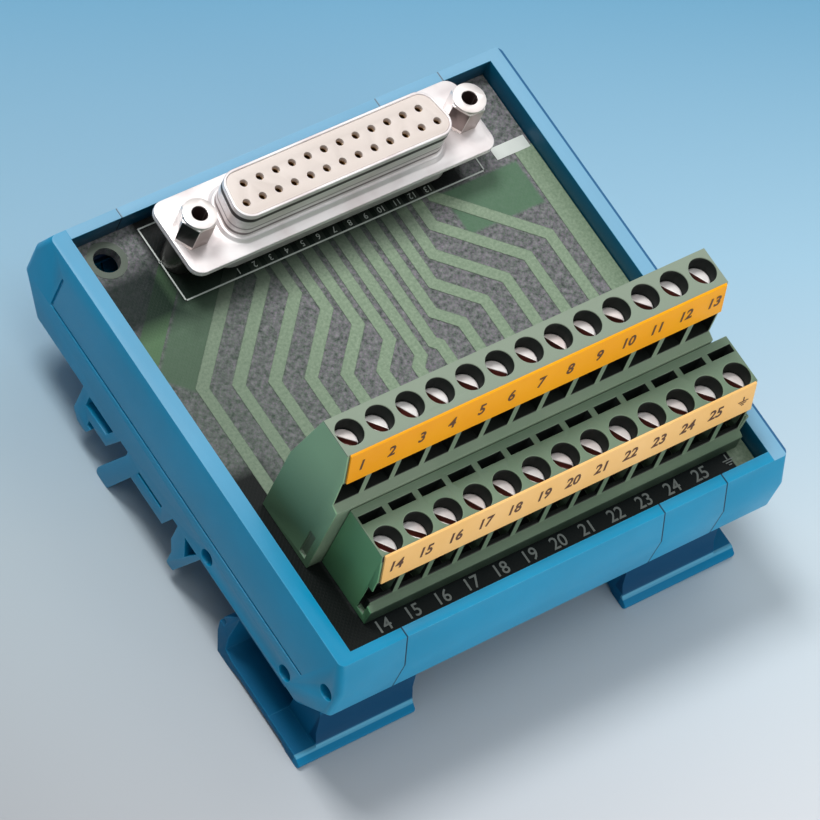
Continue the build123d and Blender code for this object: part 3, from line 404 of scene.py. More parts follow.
def metal(name, colour, tarnish, rough, rough_spread=0.06, streak_scale=900.0, metallic=1.0,
          streak_share=0.0):
    """Plated metal: streaks on its upright faces, tarnish in spots, gloss that follows."""
    material, tree, shader = start_material(name, Metallic=metallic)
    streaks = use_group(tree, STREAKS, (-900, 0), Scale=streak_scale)
    upright = use_group(tree, UPRIGHT, (-1100, 400))
    spread = add_node(tree, "ShaderNodeMapRange", (-1100, 250), From_Min=0.40, From_Max=0.60)
    lines = add_node(tree, "ShaderNodeMath", (-900, 300), operation="MULTIPLY")
    line_share = add_multiply(tree, streak_share, (-750, 300))
    either = add_node(tree, "ShaderNodeMath", (-600, 300), operation="MAXIMUM")
    tint = add_node(tree, "ShaderNodeMix", (-400, 300), data_type="RGBA", A=colour, B=tarnish)
    tree.links.new(streaks.outputs["Height"], spread.inputs["Value"])
    tree.links.new(upright.outputs["Mask"], lines.inputs[0])
    tree.links.new(spread.outputs["Result"], lines.inputs[1])
    tree.links.new(lines.outputs[0], line_share.inputs[0])
    tree.links.new(line_share.outputs[0], either.inputs[0])
    tree.links.new(streaks.outputs["Mask"], either.inputs[1])
    tree.links.new(either.outputs[0], tint.inputs["Factor"])
    tree.links.new(tint.outputs["Result"], shader.inputs["Base Color"])
    add_gloss(tree, shader, streaks.outputs["Height"], rough - rough_spread,
              rough + rough_spread)
    add_relief(tree, shader, streaks.outputs["Height"], PLATING_BUMP)
    return material


def solder_mask(name):
    """Solder mask, speckled by the hatched copper that lies under it."""
    material, tree, shader = start_material(name, Specular_IOR_Level=0.16)
    hatch = use_group(tree, HATCH, (-1200, 100))
    lines = use_group(tree, DRIFT, (-1200, 500), Colour_A=rgb(128, 140, 128),
                      Colour_B=rgb(62, 78, 66), Scale=1300.0)
    gaps = use_group(tree, DRIFT, (-1200, 300), Colour_A=rgb(148, 132, 150),
                     Colour_B=rgb(40, 46, 46), Scale=1700.0)
    share = add_node(tree, "ShaderNodeMapRange", (-1000, 100), To_Min=0.32, To_Max=0.62)
    speckle = add_node(tree, "ShaderNodeMix", (-700, 400), data_type="RGBA")
    grain = use_group(tree, GRAIN, (-1200, -400), Scale=3500.0)
    height = add_node(tree, "ShaderNodeMath", (-700, -200), operation="MULTIPLY_ADD")
    height.inputs[1].default_value = 0.6
    tree.links.new(hatch.outputs["Lines"], share.inputs["Value"])
    tree.links.new(share.outputs["Result"], speckle.inputs["Factor"])
    tree.links.new(gaps.outputs["Colour"], speckle.inputs["A"])
    tree.links.new(lines.outputs["Colour"], speckle.inputs["B"])
    tree.links.new(grain.outputs["Height"], height.inputs[0])
    tree.links.new(hatch.outputs["Lines"], height.inputs[2])
    tree.links.new(speckle.outputs["Result"], shader.inputs["Base Color"])
    add_gloss(tree, shader, grain.outputs["Coarse"], 0.34, 0.52)
    add_relief(tree, shader, height.outputs[0], 0.2, distance=0.00008)
    return material


def span(x, y, z):
    """Box from its low and high place along each axis, as its low and its high corner."""
    return tuple(zip(x, y, z))


def box_masks(tree, place, boxes, soft):
    """Joins the masks of several boxes; soft is one border in millimetres, or one per axis."""
    mask = None
    borders = soft if isinstance(soft, tuple) else (soft, soft, soft)
    for index, (low, high) in enumerate(boxes):
        box = use_group(tree, BOX, (-1500, -300 * index),
                        Soft=[border * MM for border in borders],
                        Centre=[(a + b) / 2 * MM for a, b in zip(low, high)],
                        Half=[(b - a) / 2 * MM for a, b in zip(low, high)])
        tree.links.new(place, box.inputs["Place"])
        if mask is None:
            mask = box.outputs["Mask"]
        else:
            join = add_node(tree, "ShaderNodeMath", (-1300, -300 * index), operation="MAXIMUM")
            tree.links.new(mask, join.inputs[0])
            tree.links.new(box.outputs["Mask"], join.inputs[1])
            mask = join.outputs[0]
    return mask


def tint_boxes(material, colour, boxes, soft=0.3, share=1.0, first_x=None, turn=0.0):
    """Blends another colour into a material inside boxes.

    With first_x the boxes repeat at every pole of that row, and turn is the angle in degrees
    by which the axes are turned before the boxes are laid out.
    """
    tree = material.node_tree
    shader = tree.nodes["Principled BSDF"]
    before = shader.inputs["Base Color"].links[0].from_socket
    if first_x is None:
        source = add_node(tree, "ShaderNodeTexCoord", (-2000, 0)).outputs["Object"]
    else:
        source = use_group(tree, POLE, (-2000, 0), First_X=first_x * MM).outputs["Place"]
    if turn:
        turned = add_node(tree, "ShaderNodeMapping", (-1800, 0), Rotation=(0, 0, radians(turn)))
        tree.links.new(source, turned.inputs["Vector"])
        source = turned.outputs["Vector"]
    strength = add_multiply(tree, share, (-1100, 0))
    blend = add_node(tree, "ShaderNodeMix", (-200, 500), data_type="RGBA", B=colour)
    tree.links.new(box_masks(tree, source, boxes, soft), strength.inputs[0])
    tree.links.new(strength.outputs[0], blend.inputs["Factor"])
    tree.links.new(before, blend.inputs["A"])
    tree.links.new(blend.outputs["Result"], shader.inputs["Base Color"])


# Materials

# A plastic has its colour, a second one and that of its edges, which is a painted highlight
# where lighter and a painted shade where darker; a metal its colour and tarnish.

TRAY_BLUE = plastic(
    "tray_blue", rgb(2, 143, 187), rgb(1, 135, 177), rgb(90, 180, 215),
    grain_scale=2600, bump=0.10, rough=0.34, specular=0.29)
FOOT_BLUE = plastic(
    "foot_blue", rgb(5, 92, 132), rgb(4, 84, 122), rgb(40, 140, 180),
    grain_scale=2600, bump=0.10, rough=0.5, specular=0.12)
TERMINAL_UPPER = plastic(
    "terminal_green_upper", rgb(128, 146, 124), rgb(114, 136, 112), rgb(190, 204, 184),
    grain_scale=5200, bump=0.28, rough=0.52, rough_spread=0.08, edge_width=0.0002)
# The lower housing's green is the upper one's with painted shade, for the shade the upper
# housing casts over it.
TERMINAL_LOWER_SHADED = plastic(
    "terminal_green_lower_shaded", rgb(112, 134, 110), rgb(98, 122, 98), rgb(172, 188, 166),
    grain_scale=5200, bump=0.28, rough=0.52, rough_spread=0.08, edge_width=0.0002)
MARKER_ORANGE = plastic(
    "marker_orange", rgb(250, 172, 4), rgb(243, 160, 2), rgb(255, 200, 90),
    grain_scale=4200, bump=0.12, rough=0.5, edge_share=0.3, specular=0.25)
MARKER_PALE = plastic(
    "marker_pale", rgb(250, 202, 132), rgb(244, 192, 114), rgb(255, 214, 160),
    grain_scale=4200, bump=0.12, rough=0.5, edge_share=0.3, specular=0.3)
INSULATOR_CREAM = plastic(
    "insulator_cream", rgb(226, 214, 206), rgb(219, 205, 196), rgb(238, 230, 226),
    grain_scale=6000, bump=0.15, rough=0.45, edge_share=0.3)
# The tracks' dark edge tone is painted shade along the edges of the raised tracks.
TRACK_GREEN = plastic(
    "track_green", rgb(136, 154, 129), rgb(108, 130, 104), rgb(44, 62, 46),
    grain_scale=3000, bump=0.35, rough=0.38, rough_spread=0.08, edge_width=0.0002,
    edge_share=0.85, drift_scale=2200.0)
MARKER_INK = plastic(
    "marker_ink", rgb(92, 52, 14), rgb(80, 44, 12), rgb(92, 52, 14),
    grain_scale=5000, bump=0.1, rough=0.5)
SCREEN_WHITE = plastic(
    "screen_white", rgb(214, 218, 212), rgb(180, 188, 182), rgb(214, 218, 212),
    grain_scale=5000, bump=0.2, rough=0.6, rough_spread=0.08)
SHELL_TIN = metal(
    "shell_tin", (1.0, 0.95, 0.94, 1), (0.80, 0.71, 0.70, 1), rough=0.34,
    streak_scale=2100.0, metallic=0.4, streak_share=0.7)
NICKEL = metal(
    "nickel", (0.92, 0.86, 0.83, 1), (0.62, 0.54, 0.50, 1), rough=0.30, metallic=0.8)
SCREW_NICKEL = metal(
    "screw_nickel", (1.0, 0.96, 0.93, 1), (1.0, 0.86, 0.81, 1), rough=0.42,
    rough_spread=0.08, metallic=0.15)
# Painted shade for the slots of the clamp screws.
SLOT_SHADE = metal(
    "slot_shade", (0.26, 0.08, 0.06, 1), (0.12, 0.04, 0.03, 1), rough=0.5,
    rough_spread=0.08, metallic=0.5)
# The cages' zinc is kept dark as painted shade, since they sit inside the housings.
ZINC_SHADED = metal("zinc_shaded", (0.34, 0.34, 0.32, 1), (0.22, 0.21, 0.20, 1), rough=0.40)
PIN_TIN = metal("pin_tin", (0.80, 0.79, 0.76, 1), (0.62, 0.60, 0.56, 1), rough=0.32)
GOLD = metal("gold", (0.72, 0.50, 0.26, 1), (0.50, 0.33, 0.17, 1), rough=0.26,
             rough_spread=0.05)
BOARD_MASK = solder_mask("board_mask")


# Feet: painted shade over the ridge, painted light on the nose under it, and a painted highlight
# along the ridge

WHOLE_TRAY = (-40, 40)
FOOT_SHADE = span(WHOLE_TRAY, (-38.2, -35.6), (2.0, 8))
FOOT_NOSE_LIGHT = span(WHOLE_TRAY, (-39.6, -37.5), (-1, 1.9))
FOOT_RIDGE_HIGHLIGHT = span(WHOLE_TRAY, (-38.15, -37.35), (1.3, 2.05))
tint_boxes(FOOT_BLUE, rgb(2, 56, 92), [FOOT_SHADE], soft=0.3, share=0.8)
tint_boxes(FOOT_BLUE, rgb(8, 118, 162), [FOOT_NOSE_LIGHT], soft=0.15, share=0.9)
tint_boxes(FOOT_BLUE, rgb(130, 206, 232), [FOOT_RIDGE_HIGHLIGHT], soft=0.12, share=0.4)


# Tray: painted shade in the seams and on the inner walls, a painted sheen on the rims, painted
# shade on the left plate's foot and along the far edges

SEAM_HALF = 0.16
RIM = (26.7, 28)
SEAM_SHADE = [span((x - SEAM_HALF, x + SEAM_HALF), WHOLE_TRAY, (-1, 28)) for x in TRAY_SEAMS]
INNER_WALL_SHADE = span((-36.9, 36.9), (-35.7, 35.7), (20, 26.7))
BACK_RIM = span((-36.7, 39.5), (35.4, 39.5), RIM)
RIGHT_RIM = span((36.7, 39.6), (-39.5, 39.5), RIM)
LEFT_RIM = span((-39.6, -36.7), (-26, 64), RIM)
LEFT_PLATE_FOOT_SHADE = span((-46, -33), (-46, 46), (-8, 16))
BACK_EDGE_SHADE = span((-39.6, 39.6), (38.5, 40.2), (24, 28))
RIGHT_EDGE_SHADE = span((38.95, 40.2), (-39.6, 40), (24, 28))
RIM_SHEEN = rgb(196, 218, 232)
# Painted shade in the seams between the tray's elements.
tint_boxes(TRAY_BLUE, rgb(4, 40, 66), SEAM_SHADE, soft=0.06, share=0.85)
# Painted shade on the inner walls of the tray.
tint_boxes(TRAY_BLUE, rgb(2, 22, 44), [INNER_WALL_SHADE], soft=0.25)
# Painted sheen on the back and right rims, fading along the left rim.
tint_boxes(TRAY_BLUE, RIM_SHEEN, [BACK_RIM, RIGHT_RIM], soft=0.05, share=0.35)
tint_boxes(TRAY_BLUE, RIM_SHEEN, [LEFT_RIM], soft=(0.05, 28, 0.05), share=0.2)
# Painted shade that darkens the left plate towards its foot.
tint_boxes(TRAY_BLUE, rgb(0, 96, 134), [LEFT_PLATE_FOOT_SHADE], soft=9, share=0.55)
# Painted shade along the far outer edges of the back and right rims.
tint_boxes(TRAY_BLUE, rgb(6, 84, 132), [BACK_EDGE_SHADE, RIGHT_EDGE_SHADE], soft=0.08, share=0.9)


# Terminals: painted light on their left ends, painted shade that darkens those ends downwards,
# and painted shade in their openings

TERMINALS_Y = (-36, 2)
TOP_LIP = 0.1
END_OUTSIDE, END_INSIDE = 6, 2.1
END_BOTTOM, END_FOOT_BOTTOM, END_FOOT_DROP = 22, 4, 6
WELL_HALF, WELL_DEPTH, WELL_LIP = 2.3, 5, 0.12
ENTRY_HALF, ENTRY_TOP, ENTRY_FLOOR = 2.12, 5.7, 12.8
ENTRY_FRONT, ENTRY_BACK = 1.6, 3
SLOT_FRONT, SLOT_BACK, SLOT_DEPTH = 3.2, 4.8, 4.2
for material, first_x, screw_y, edge_y, top, end_lit_green in (
    (TERMINAL_UPPER, UPPER_FIRST_X, UPPER_SCREW_Y, UPPER_EDGE_Y, UPPER_TOP, rgb(140, 184, 144)),
    (TERMINAL_LOWER_SHADED, LOWER_FIRST_X, LOWER_SCREW_Y, LOWER_EDGE_Y, LOWER_TOP, rgb(98, 158, 112)),
):
    end_x = (first_x - END_OUTSIDE, first_x - END_INSIDE)
    end_face = span(end_x, TERMINALS_Y, (END_BOTTOM, top - TOP_LIP))
    end_foot_shade = span(end_x, TERMINALS_Y, (END_FOOT_BOTTOM, top - END_FOOT_DROP))
    well = span((-WELL_HALF, WELL_HALF), (screw_y - WELL_HALF, screw_y + WELL_HALF),
                (top - WELL_DEPTH, top - WELL_LIP))
    wire_entry = span((-ENTRY_HALF, ENTRY_HALF), (edge_y - ENTRY_FRONT, screw_y + ENTRY_BACK),
                      (top - ENTRY_FLOOR, top - ENTRY_TOP))
    test_slot = span((-ENTRY_HALF, ENTRY_HALF), (screw_y + SLOT_FRONT, screw_y + SLOT_BACK),
                     (top - SLOT_DEPTH, top - TOP_LIP))
    # Painted light on the left end faces, then painted shade that darkens them downwards.
    tint_boxes(material, end_lit_green, [end_face], soft=0.1, share=0.9)
    tint_boxes(material, rgb(30, 66, 44), [end_foot_shade], soft=(0.1, 1, 15), share=0.55)
    # Painted shade in the wells, wire entries and test slots of every pole.
    tint_boxes(material, rgb(10, 18, 14), [well, wire_entry, test_slot], soft=0.06,
               first_x=first_x)
# Painted light on the top face of the upper housing.
UPPER_TOP_LIGHT = span(WHOLE_TRAY, TERMINALS_Y, (UPPER_TOP - 0.2, UPPER_TOP + 1))
tint_boxes(TERMINAL_UPPER, rgb(134, 147, 129), [UPPER_TOP_LIGHT], soft=0.05, share=0.9)


# Connector: painted shade on the spacers under the flange, in lines round the skirt, on the
# flats and in the bores of the jackscrews

SPACER_SHADE = span((-30, 32), (22, 34), (20, 28.9))
SKIRT_X, SKIRT_Y = (-20, 22.5), (22, 34)
BORE_HALF = 1.24
FLAT_EDGE = 1.3
# Painted shade on the spacers under the flange.
tint_boxes(NICKEL, rgb(52, 54, 50), [SPACER_SHADE], soft=0.3, share=0.85)
# Painted shade in lines round the skirt, under the insulator and over the bend to the flange.
for low, high, dark, share in (
    (SKIRT_TOP - 1.7, SKIRT_TOP - 0.8, rgb(40, 32, 32), 0.95),
    (FLANGE_TOP + 2.2, FLANGE_TOP + 2.6, rgb(120, 100, 102), 0.7),
    (FLANGE_TOP + 0.9, FLANGE_TOP + 1.5, rgb(84, 68, 68), 0.85),
):
    tint_boxes(SHELL_TIN, dark, [span(SKIRT_X, SKIRT_Y, (low, high))], soft=0.12, share=share)
# Painted shade on the flats of the jackscrews, darkest on the left flats, and in their bores.
for axis, flat_shade, flat_share in (
    (DSUB_X - JACKSCREW_AWAY, rgb(22, 28, 24), 0.95),
    (DSUB_X + JACKSCREW_AWAY, rgb(84, 62, 58), 0.85),
):
    left_flat = span((axis - 2.95, axis - FLAT_EDGE), (DSUB_Y - 2.45, DSUB_Y + 0.1),
                     (30.3, 34.4))
    front_flats = span((axis - FLAT_EDGE, axis + 2.9), (DSUB_Y - 2.6, DSUB_Y), (29.8, 34.3))
    bore = span((axis - BORE_HALF, axis + BORE_HALF), (DSUB_Y - BORE_HALF, DSUB_Y + BORE_HALF),
                (28, 34.85))
    tint_boxes(NICKEL, flat_shade, [left_flat], soft=0.1, share=flat_share)
    tint_boxes(NICKEL, rgb(150, 126, 120), [front_flats], soft=0.2, share=0.6)
    tint_boxes(NICKEL, rgb(72, 44, 40), [bore], soft=0.05, share=0.9)


# Board: plain copper areas, then painted shade round the connector, at the left, before the
# terminals and on the terminal numbers

BOARD_SKIN = (BOARD_TOP - 2, BOARD_TOP + 1)


def past_skin(more):
    """Heights that reach further past the board's skin, for a soft border of that size."""
    return (BOARD_SKIN[0] - more, BOARD_SKIN[1] + more)


WIDE_BAND = span((-34.6, -28.5), (-16.5, 6), BOARD_SKIN)
LEFT_AREA = span((-38.2, -34.6), (-15, 4), BOARD_SKIN)
RIGHT_AREA = span((19, 33), (13.5, 21.5), BOARD_SKIN)
UNDER_CONNECTOR_SHADE = span((-26.4, 24.5), (21.0, 37.5), past_skin(2))
BEFORE_CONNECTOR_SHADE = span((-28, 16), (15.5, 27), past_skin(6))
LEFT_HALF_SHADE = span((-70, -6), (-34, 26), past_skin(2))
BACK_LEFT_SHADE = span((-38, -24), (18, 31), past_skin(3))
FRONT_STRIP_SHADE = span((-37, 37), (-37, -29.5), BOARD_SKIN)
LEFT_STRIP_SHADE = span((-39, -28.5), (-39, -3), past_skin(2))
HOLE_RING = span((-34.9, -28.9), (28.9, 35.1), BOARD_SKIN)
TERMINAL_NUMBERS_SHADE = span(WHOLE_TRAY, (-36, -30), (20, 26))
tint_boxes(BOARD_MASK, rgb(86, 110, 88), [WIDE_BAND], soft=0.5, share=0.92, turn=45)
tint_boxes(BOARD_MASK, rgb(92, 124, 88), [LEFT_AREA], soft=0.2, share=0.95, turn=45)
tint_boxes(BOARD_MASK, rgb(84, 116, 90), [RIGHT_AREA], soft=0.5, share=0.9)
# Painted shade under and before the connector and over the left half, on the mask and on the
# tracks.
for material in (BOARD_MASK, TRACK_GREEN):
    tint_boxes(material, rgb(10, 14, 13), [UNDER_CONNECTOR_SHADE], soft=1.2, share=0.96)
    tint_boxes(material, rgb(30, 42, 36), [BEFORE_CONNECTOR_SHADE], soft=5.5, share=0.75)
    tint_boxes(material, rgb(52, 70, 54), [LEFT_HALF_SHADE], soft=(24, 14, 1), share=0.4)
# Painted shade at the back left, in the strip before the terminals and in the channel at the
# left.
tint_boxes(BOARD_MASK, rgb(14, 28, 25), [BACK_LEFT_SHADE], soft=3.5, share=0.92)
tint_boxes(BOARD_MASK, rgb(22, 29, 29), [FRONT_STRIP_SHADE], soft=0.8)
tint_boxes(BOARD_MASK, rgb(12, 17, 16), [LEFT_STRIP_SHADE], soft=2.6)
tint_boxes(TRACK_GREEN, rgb(80, 90, 78), [HOLE_RING], soft=0.1)
# Painted shade that greys the terminal numbers in front of the lower housing.
tint_boxes(SCREEN_WHITE, rgb(128, 136, 132), [TERMINAL_NUMBERS_SHADE], soft=0.1, share=0.8)


# Mesh helpers

SMOOTH_ANGLE = radians(35)
SHARP_ANGLE = radians(25)
FLAT_ANGLE = radians(0.5)
MERGE_DISTANCE = 1e-6
CAP_SHARE = 0.7
PRINT_HALF = 0.01
SIGN_STEM_HALF, SIGN_BAR_HALF = 0.09, 0.08
SIGN_BARS = (0.9, 0.58, 0.26)


def finish_piece(bm, name, material, body="adapter"):
    """Turns a bmesh into an object at the origin that rides on a body."""
    mesh = bpy.data.meshes.new(name)
    bm.normal_update()
    bm.to_mesh(mesh)
    bm.free()
    mesh.materials.append(material)
    for face in mesh.polygons:
        face.use_smooth = True
    mesh.set_sharp_from_angle(angle=SMOOTH_ANGLE)
    piece = bpy.data.objects.new(name, mesh)
    bpy.context.scene.collection.objects.link(piece)
    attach(piece, body)
    return piece


def rounded_copy(node, material, radius, segments=2, body="adapter"):
    """Copy of a CAD piece with its sharp edges rounded by a radius in millimetres."""
    bm = bmesh.new()
    bm.from_mesh(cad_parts[node].data)
    bmesh.ops.remove_doubles(bm, verts=bm.verts, dist=MERGE_DISTANCE)
    bmesh.ops.dissolve_limit(bm, angle_limit=FLAT_ANGLE, verts=bm.verts, edges=bm.edges)
    sharp_edges = [
        edge for edge in bm.edges
        if edge.is_manifold and abs(edge.calc_face_angle_signed(0)) > SHARP_ANGLE
    ]
    bmesh.ops.bevel(bm, geom=sharp_edges, offset=radius * MM, offset_type="OFFSET",
                    affect="EDGES", segments=segments, profile=0.5, material=-1,
                    clamp_overlap=True)
    piece = finish_piece(bm, node + "_look", material, body)
    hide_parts(node)
    return piece


def dress(node, material):
    """Gives a CAD piece its material and leaves its mesh alone."""
    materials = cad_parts[node].data.materials
    materials.clear()
    materials.append(material)


def add_box(bm, low, high):
    """Adds a box between two corners."""
    size = [abs(b - a) * MM for a, b in zip(low, high)]
    middle = [(a + b) / 2 * MM for a, b in zip(low, high)]
    place = Matrix.Translation(middle) @ Matrix.Diagonal((*size, 1))
    bmesh.ops.create_cube(bm, size=1.0, matrix=place)


def add_text(bm, label, height, place, shear=0.0, weight=0.0):
    """Adds the letters of a label, as thick as a print; weight makes their strokes wider."""
    curve = bpy.data.curves.new("label", "FONT")
    curve.body = label
    curve.size = height * MM / CAP_SHARE
    curve.align_x = "CENTER"
    curve.align_y = "CENTER"
    curve.shear = shear
    curve.offset = weight * MM
    curve.extrude = PRINT_HALF * MM
    curve.resolution_u = 3
    holder = bpy.data.objects.new("label", curve)
    bpy.context.scene.collection.objects.link(holder)
    bpy.context.view_layer.update()
    graph = bpy.context.evaluated_depsgraph_get()
    letters = bpy.data.meshes.new_from_object(holder.evaluated_get(graph))
    letters.transform(place)
    bm.from_mesh(letters)
    bpy.data.objects.remove(holder)
    bpy.data.curves.remove(curve)
    bpy.data.meshes.remove(letters)


def add_ground_sign(bm, height, place):
    """Adds the earth sign: a stem over three bars that get shorter."""
    thickness = (-PRINT_HALF, PRINT_HALF)
    sign = bmesh.new()
    add_box(sign, *span((-SIGN_STEM_HALF, SIGN_STEM_HALF), (0, height / 2), thickness))
    for index, half in enumerate(SIGN_BARS):
        level = -index * height / 5
        bar = (level - SIGN_BAR_HALF, level + SIGN_BAR_HALF)
        add_box(sign, *span((-half, half), bar, thickness))
    mesh = bpy.data.meshes.new("sign")
    sign.to_mesh(mesh)
    sign.free()
    mesh.transform(place)
    bm.from_mesh(mesh)
    bpy.data.meshes.remove(mesh)


# Tray and feet

for element in ("side_element_left", "side_element_right",
                "base_element_wide", "base_element_narrow"):
    rounded_copy(element, TRAY_BLUE, radius=0.16)
for foot in ("rail_foot_left", "rail_foot_right"):
    rounded_copy(foot, FOOT_BLUE, radius=0.2)


# Board and its print

PRINT_LEVEL = BOARD_TOP + 0.09
FRAME_LEFT, FRAME_RIGHT = DSUB_X - 26.35, DSUB_X + 26.35
FRAME_FRONT, FRAME_BACK = 21.7, 34.3
FRAME_LINE = 0.22
SIDE_MARK = ((FRAME_LEFT - 0.1, FRAME_LEFT + 1.2), (28.4, 28.75))
PLAIN_BAR = ((30.2, 36.2), (22.4, 24.5))
CONTACT_NUMBER_Y = 22.75
CONTACT_NUMBER_HEIGHT = 0.95
TERMINAL_NUMBER_Y = -33.1
TERMINAL_SIGN_Y = -32.9
TERMINAL_NUMBER_HEIGHT = 1.9


def make_board_print():
    """White print: frame of the connector, contact numbers and terminal numbers."""
    bm = bmesh.new()
    for x, y in (
        ((FRAME_LEFT, FRAME_RIGHT), (FRAME_FRONT, FRAME_FRONT + FRAME_LINE)),
        ((FRAME_LEFT, FRAME_RIGHT), (FRAME_BACK, FRAME_BACK + FRAME_LINE)),
        ((FRAME_LEFT, FRAME_LEFT + FRAME_LINE), (FRAME_FRONT, FRAME_BACK)),
        ((FRAME_RIGHT - FRAME_LINE, FRAME_RIGHT), (FRAME_FRONT, FRAME_BACK)),
        SIDE_MARK,
        PLAIN_BAR,
    ):
        add_box(bm, *span(x, y, (PRINT_LEVEL - PRINT_HALF, PRINT_LEVEL + PRINT_HALF)))
    turned = Matrix.Rotation(pi, 4, "Z")
    for index in range(POLES):
        x = DSUB_X + CONTACT_PITCH * (index - (POLES - 1) / 2)
        place = Matrix.Translation(Vector((x, CONTACT_NUMBER_Y, PRINT_LEVEL)) * MM)
        add_text(bm, str(index + 1), CONTACT_NUMBER_HEIGHT, place @ turned)
    for index in range(POLES - 1):
        x = LOWER_FIRST_X + POLE_PITCH * index
        place = Matrix.Translation(Vector((x, TERMINAL_NUMBER_Y, PRINT_LEVEL)) * MM)
        add_text(bm, str(index + POLES + 1), TERMINAL_NUMBER_HEIGHT, place, weight=0.02)
    x = LOWER_FIRST_X + POLE_PITCH * (POLES - 1)
    place = Matrix.Translation(Vector((x, TERMINAL_SIGN_Y, PRINT_LEVEL)) * MM)
    add_ground_sign(bm, TERMINAL_NUMBER_HEIGHT, place)
    finish_piece(bm, "board_print", SCREEN_WHITE)


dress("circuit_board", BOARD_MASK)
dress("board_tracks", TRACK_GREEN)
make_board_print()


# Connector

for shell in ("dsub_front_shell", "dsub_rear_shell"):
    rounded_copy(shell, SHELL_TIN, radius=0.12)
for insulator in ("dsub_front_insulator", "dsub_rear_insulator"):
    rounded_copy(insulator, INSULATOR_CREAM, radius=0.12)
dress("dsub_contacts", GOLD)
for fastener in ("jackscrews", "flange_spacers"):
    rounded_copy(fastener, NICKEL, radius=0.15)


# Terminals and their marker strips

MARKER_OUT = 0.42
MARKER_NUMBER_HEIGHT = 1.75


def marker_place(x, edge_y, top):
    """Place of a number on the sloped face of a marker strip."""
    up = Vector((0, MARKER_RUN, MARKER_DROP)).normalized()
    out = Vector((0, -up.z, up.y))
    middle = Vector((x, edge_y - MARKER_RUN / 2, top - MARKER_DROP / 2))
    turn = Matrix((Vector((1, 0, 0)), up, out)).transposed().to_4x4()
    return Matrix.Translation((middle + out * MARKER_OUT) * MM) @ turn


def make_marker_numbers(name, labels, first_x, edge_y, top):
    """Dark numbers on a marker strip; an empty label becomes the earth sign."""
    bm = bmesh.new()
    for index, label in enumerate(labels):
        place = marker_place(first_x + POLE_PITCH * index, edge_y, top)
        if label:
            add_text(bm, label, MARKER_NUMBER_HEIGHT, place, shear=0.18, weight=0.06)
        else:
            add_ground_sign(bm, MARKER_NUMBER_HEIGHT, place)
    finish_piece(bm, name, MARKER_INK)


for row, green in (("upper", TERMINAL_UPPER), ("lower", TERMINAL_LOWER_SHADED)):
    housing = rounded_copy("terminal_housing_" + row, green, radius=0.1, segments=1)
    dress("clamp_cages_" + row, ZINC_SHADED)
    dress("terminal_pins_" + row, PIN_TIN)
rounded_copy("marker_strip_upper", MARKER_ORANGE, radius=0.06)
rounded_copy("marker_strip_lower", MARKER_PALE, radius=0.06)
upper_labels = [str(number + 1) for number in range(POLES)]
lower_labels = [str(number + POLES + 1) for number in range(POLES - 1)] + [""]
make_marker_numbers("numbers_upper", upper_labels, UPPER_FIRST_X, UPPER_EDGE_Y, UPPER_TOP)
make_marker_numbers("numbers_lower", lower_labels, LOWER_FIRST_X, LOWER_EDGE_Y, LOWER_TOP)


# Clamp screws

SLOT_REACH = 0.9
SLOT_SKIN = 0.16


def dress_screw(number):
    """Rounded copy of a clamp screw with painted shade on the faces of its slot."""
    node = f"terminal_screw_{number:02d}"
    piece = rounded_copy(node, SCREW_NICKEL, radius=0.14, body=node)
    piece.data.materials.append(SLOT_SHADE)
    upper = number <= POLES
    x = (UPPER_FIRST_X if upper else LOWER_FIRST_X) + POLE_PITCH * ((number - 1) % POLES)
    y = UPPER_SCREW_Y if upper else LOWER_SCREW_Y
    head_top = (UPPER_TOP if upper else LOWER_TOP) - HEAD_SINK
    for face in piece.data.polygons:
        away = sqrt((face.center.x - x * MM) ** 2 + (face.center.y - y * MM) ** 2)
        depth = head_top * MM - face.center.z
        in_head = SLOT_SKIN * MM < depth < SLOT_REACH * HEAD_HEIGHT * MM
        if in_head and away < SLOT_REACH * HEAD_RADIUS * MM:
            face.material_index = 1


for number in range(1, 2 * POLES + 1):
    dress_screw(number)


# Floor, light and camera

FLOOR_SIZE = 3.0
FLOOR_FADE, FLOOR_SIDE_FADE = (-0.07, 0.085), (-0.07, 0.07)
FLOOR_SIDE_LIGHT = (0.58, 1.12)
FLOOR_BACKWARD = (0.415, 0.91, 0)
FLOOR_RIGHTWARD = (0.82, -0.56, 0)
FLOOR_COLOURS = (
    (0.0, rgb(206, 208, 212)),
    (0.35, rgb(192, 206, 214)),
    (0.65, rgb(158, 194, 214)),
    (1.0, rgb(102, 158, 190)),
)
LAMP_AIM = (0, 0, 0.02)
WORLD_COLOUR = (0.88, 0.95, 1.0, 1)
WORLD_STRENGTH = 0.24
CAMERA_LENS, CAMERA_SENSOR = 273.713, 36.0
CAMERA_NEAR, CAMERA_FAR = 0.01, 20.0
CAMERA_PLACE = (-431.198, -259.784, 729.449)
CAMERA_RIGHT = (0.790908, -0.543074, 0.282019)
CAMERA_UP = (0.361783, 0.786671, 0.500262)
CAMERA_BACK = (-0.493535, -0.293632, 0.818659)


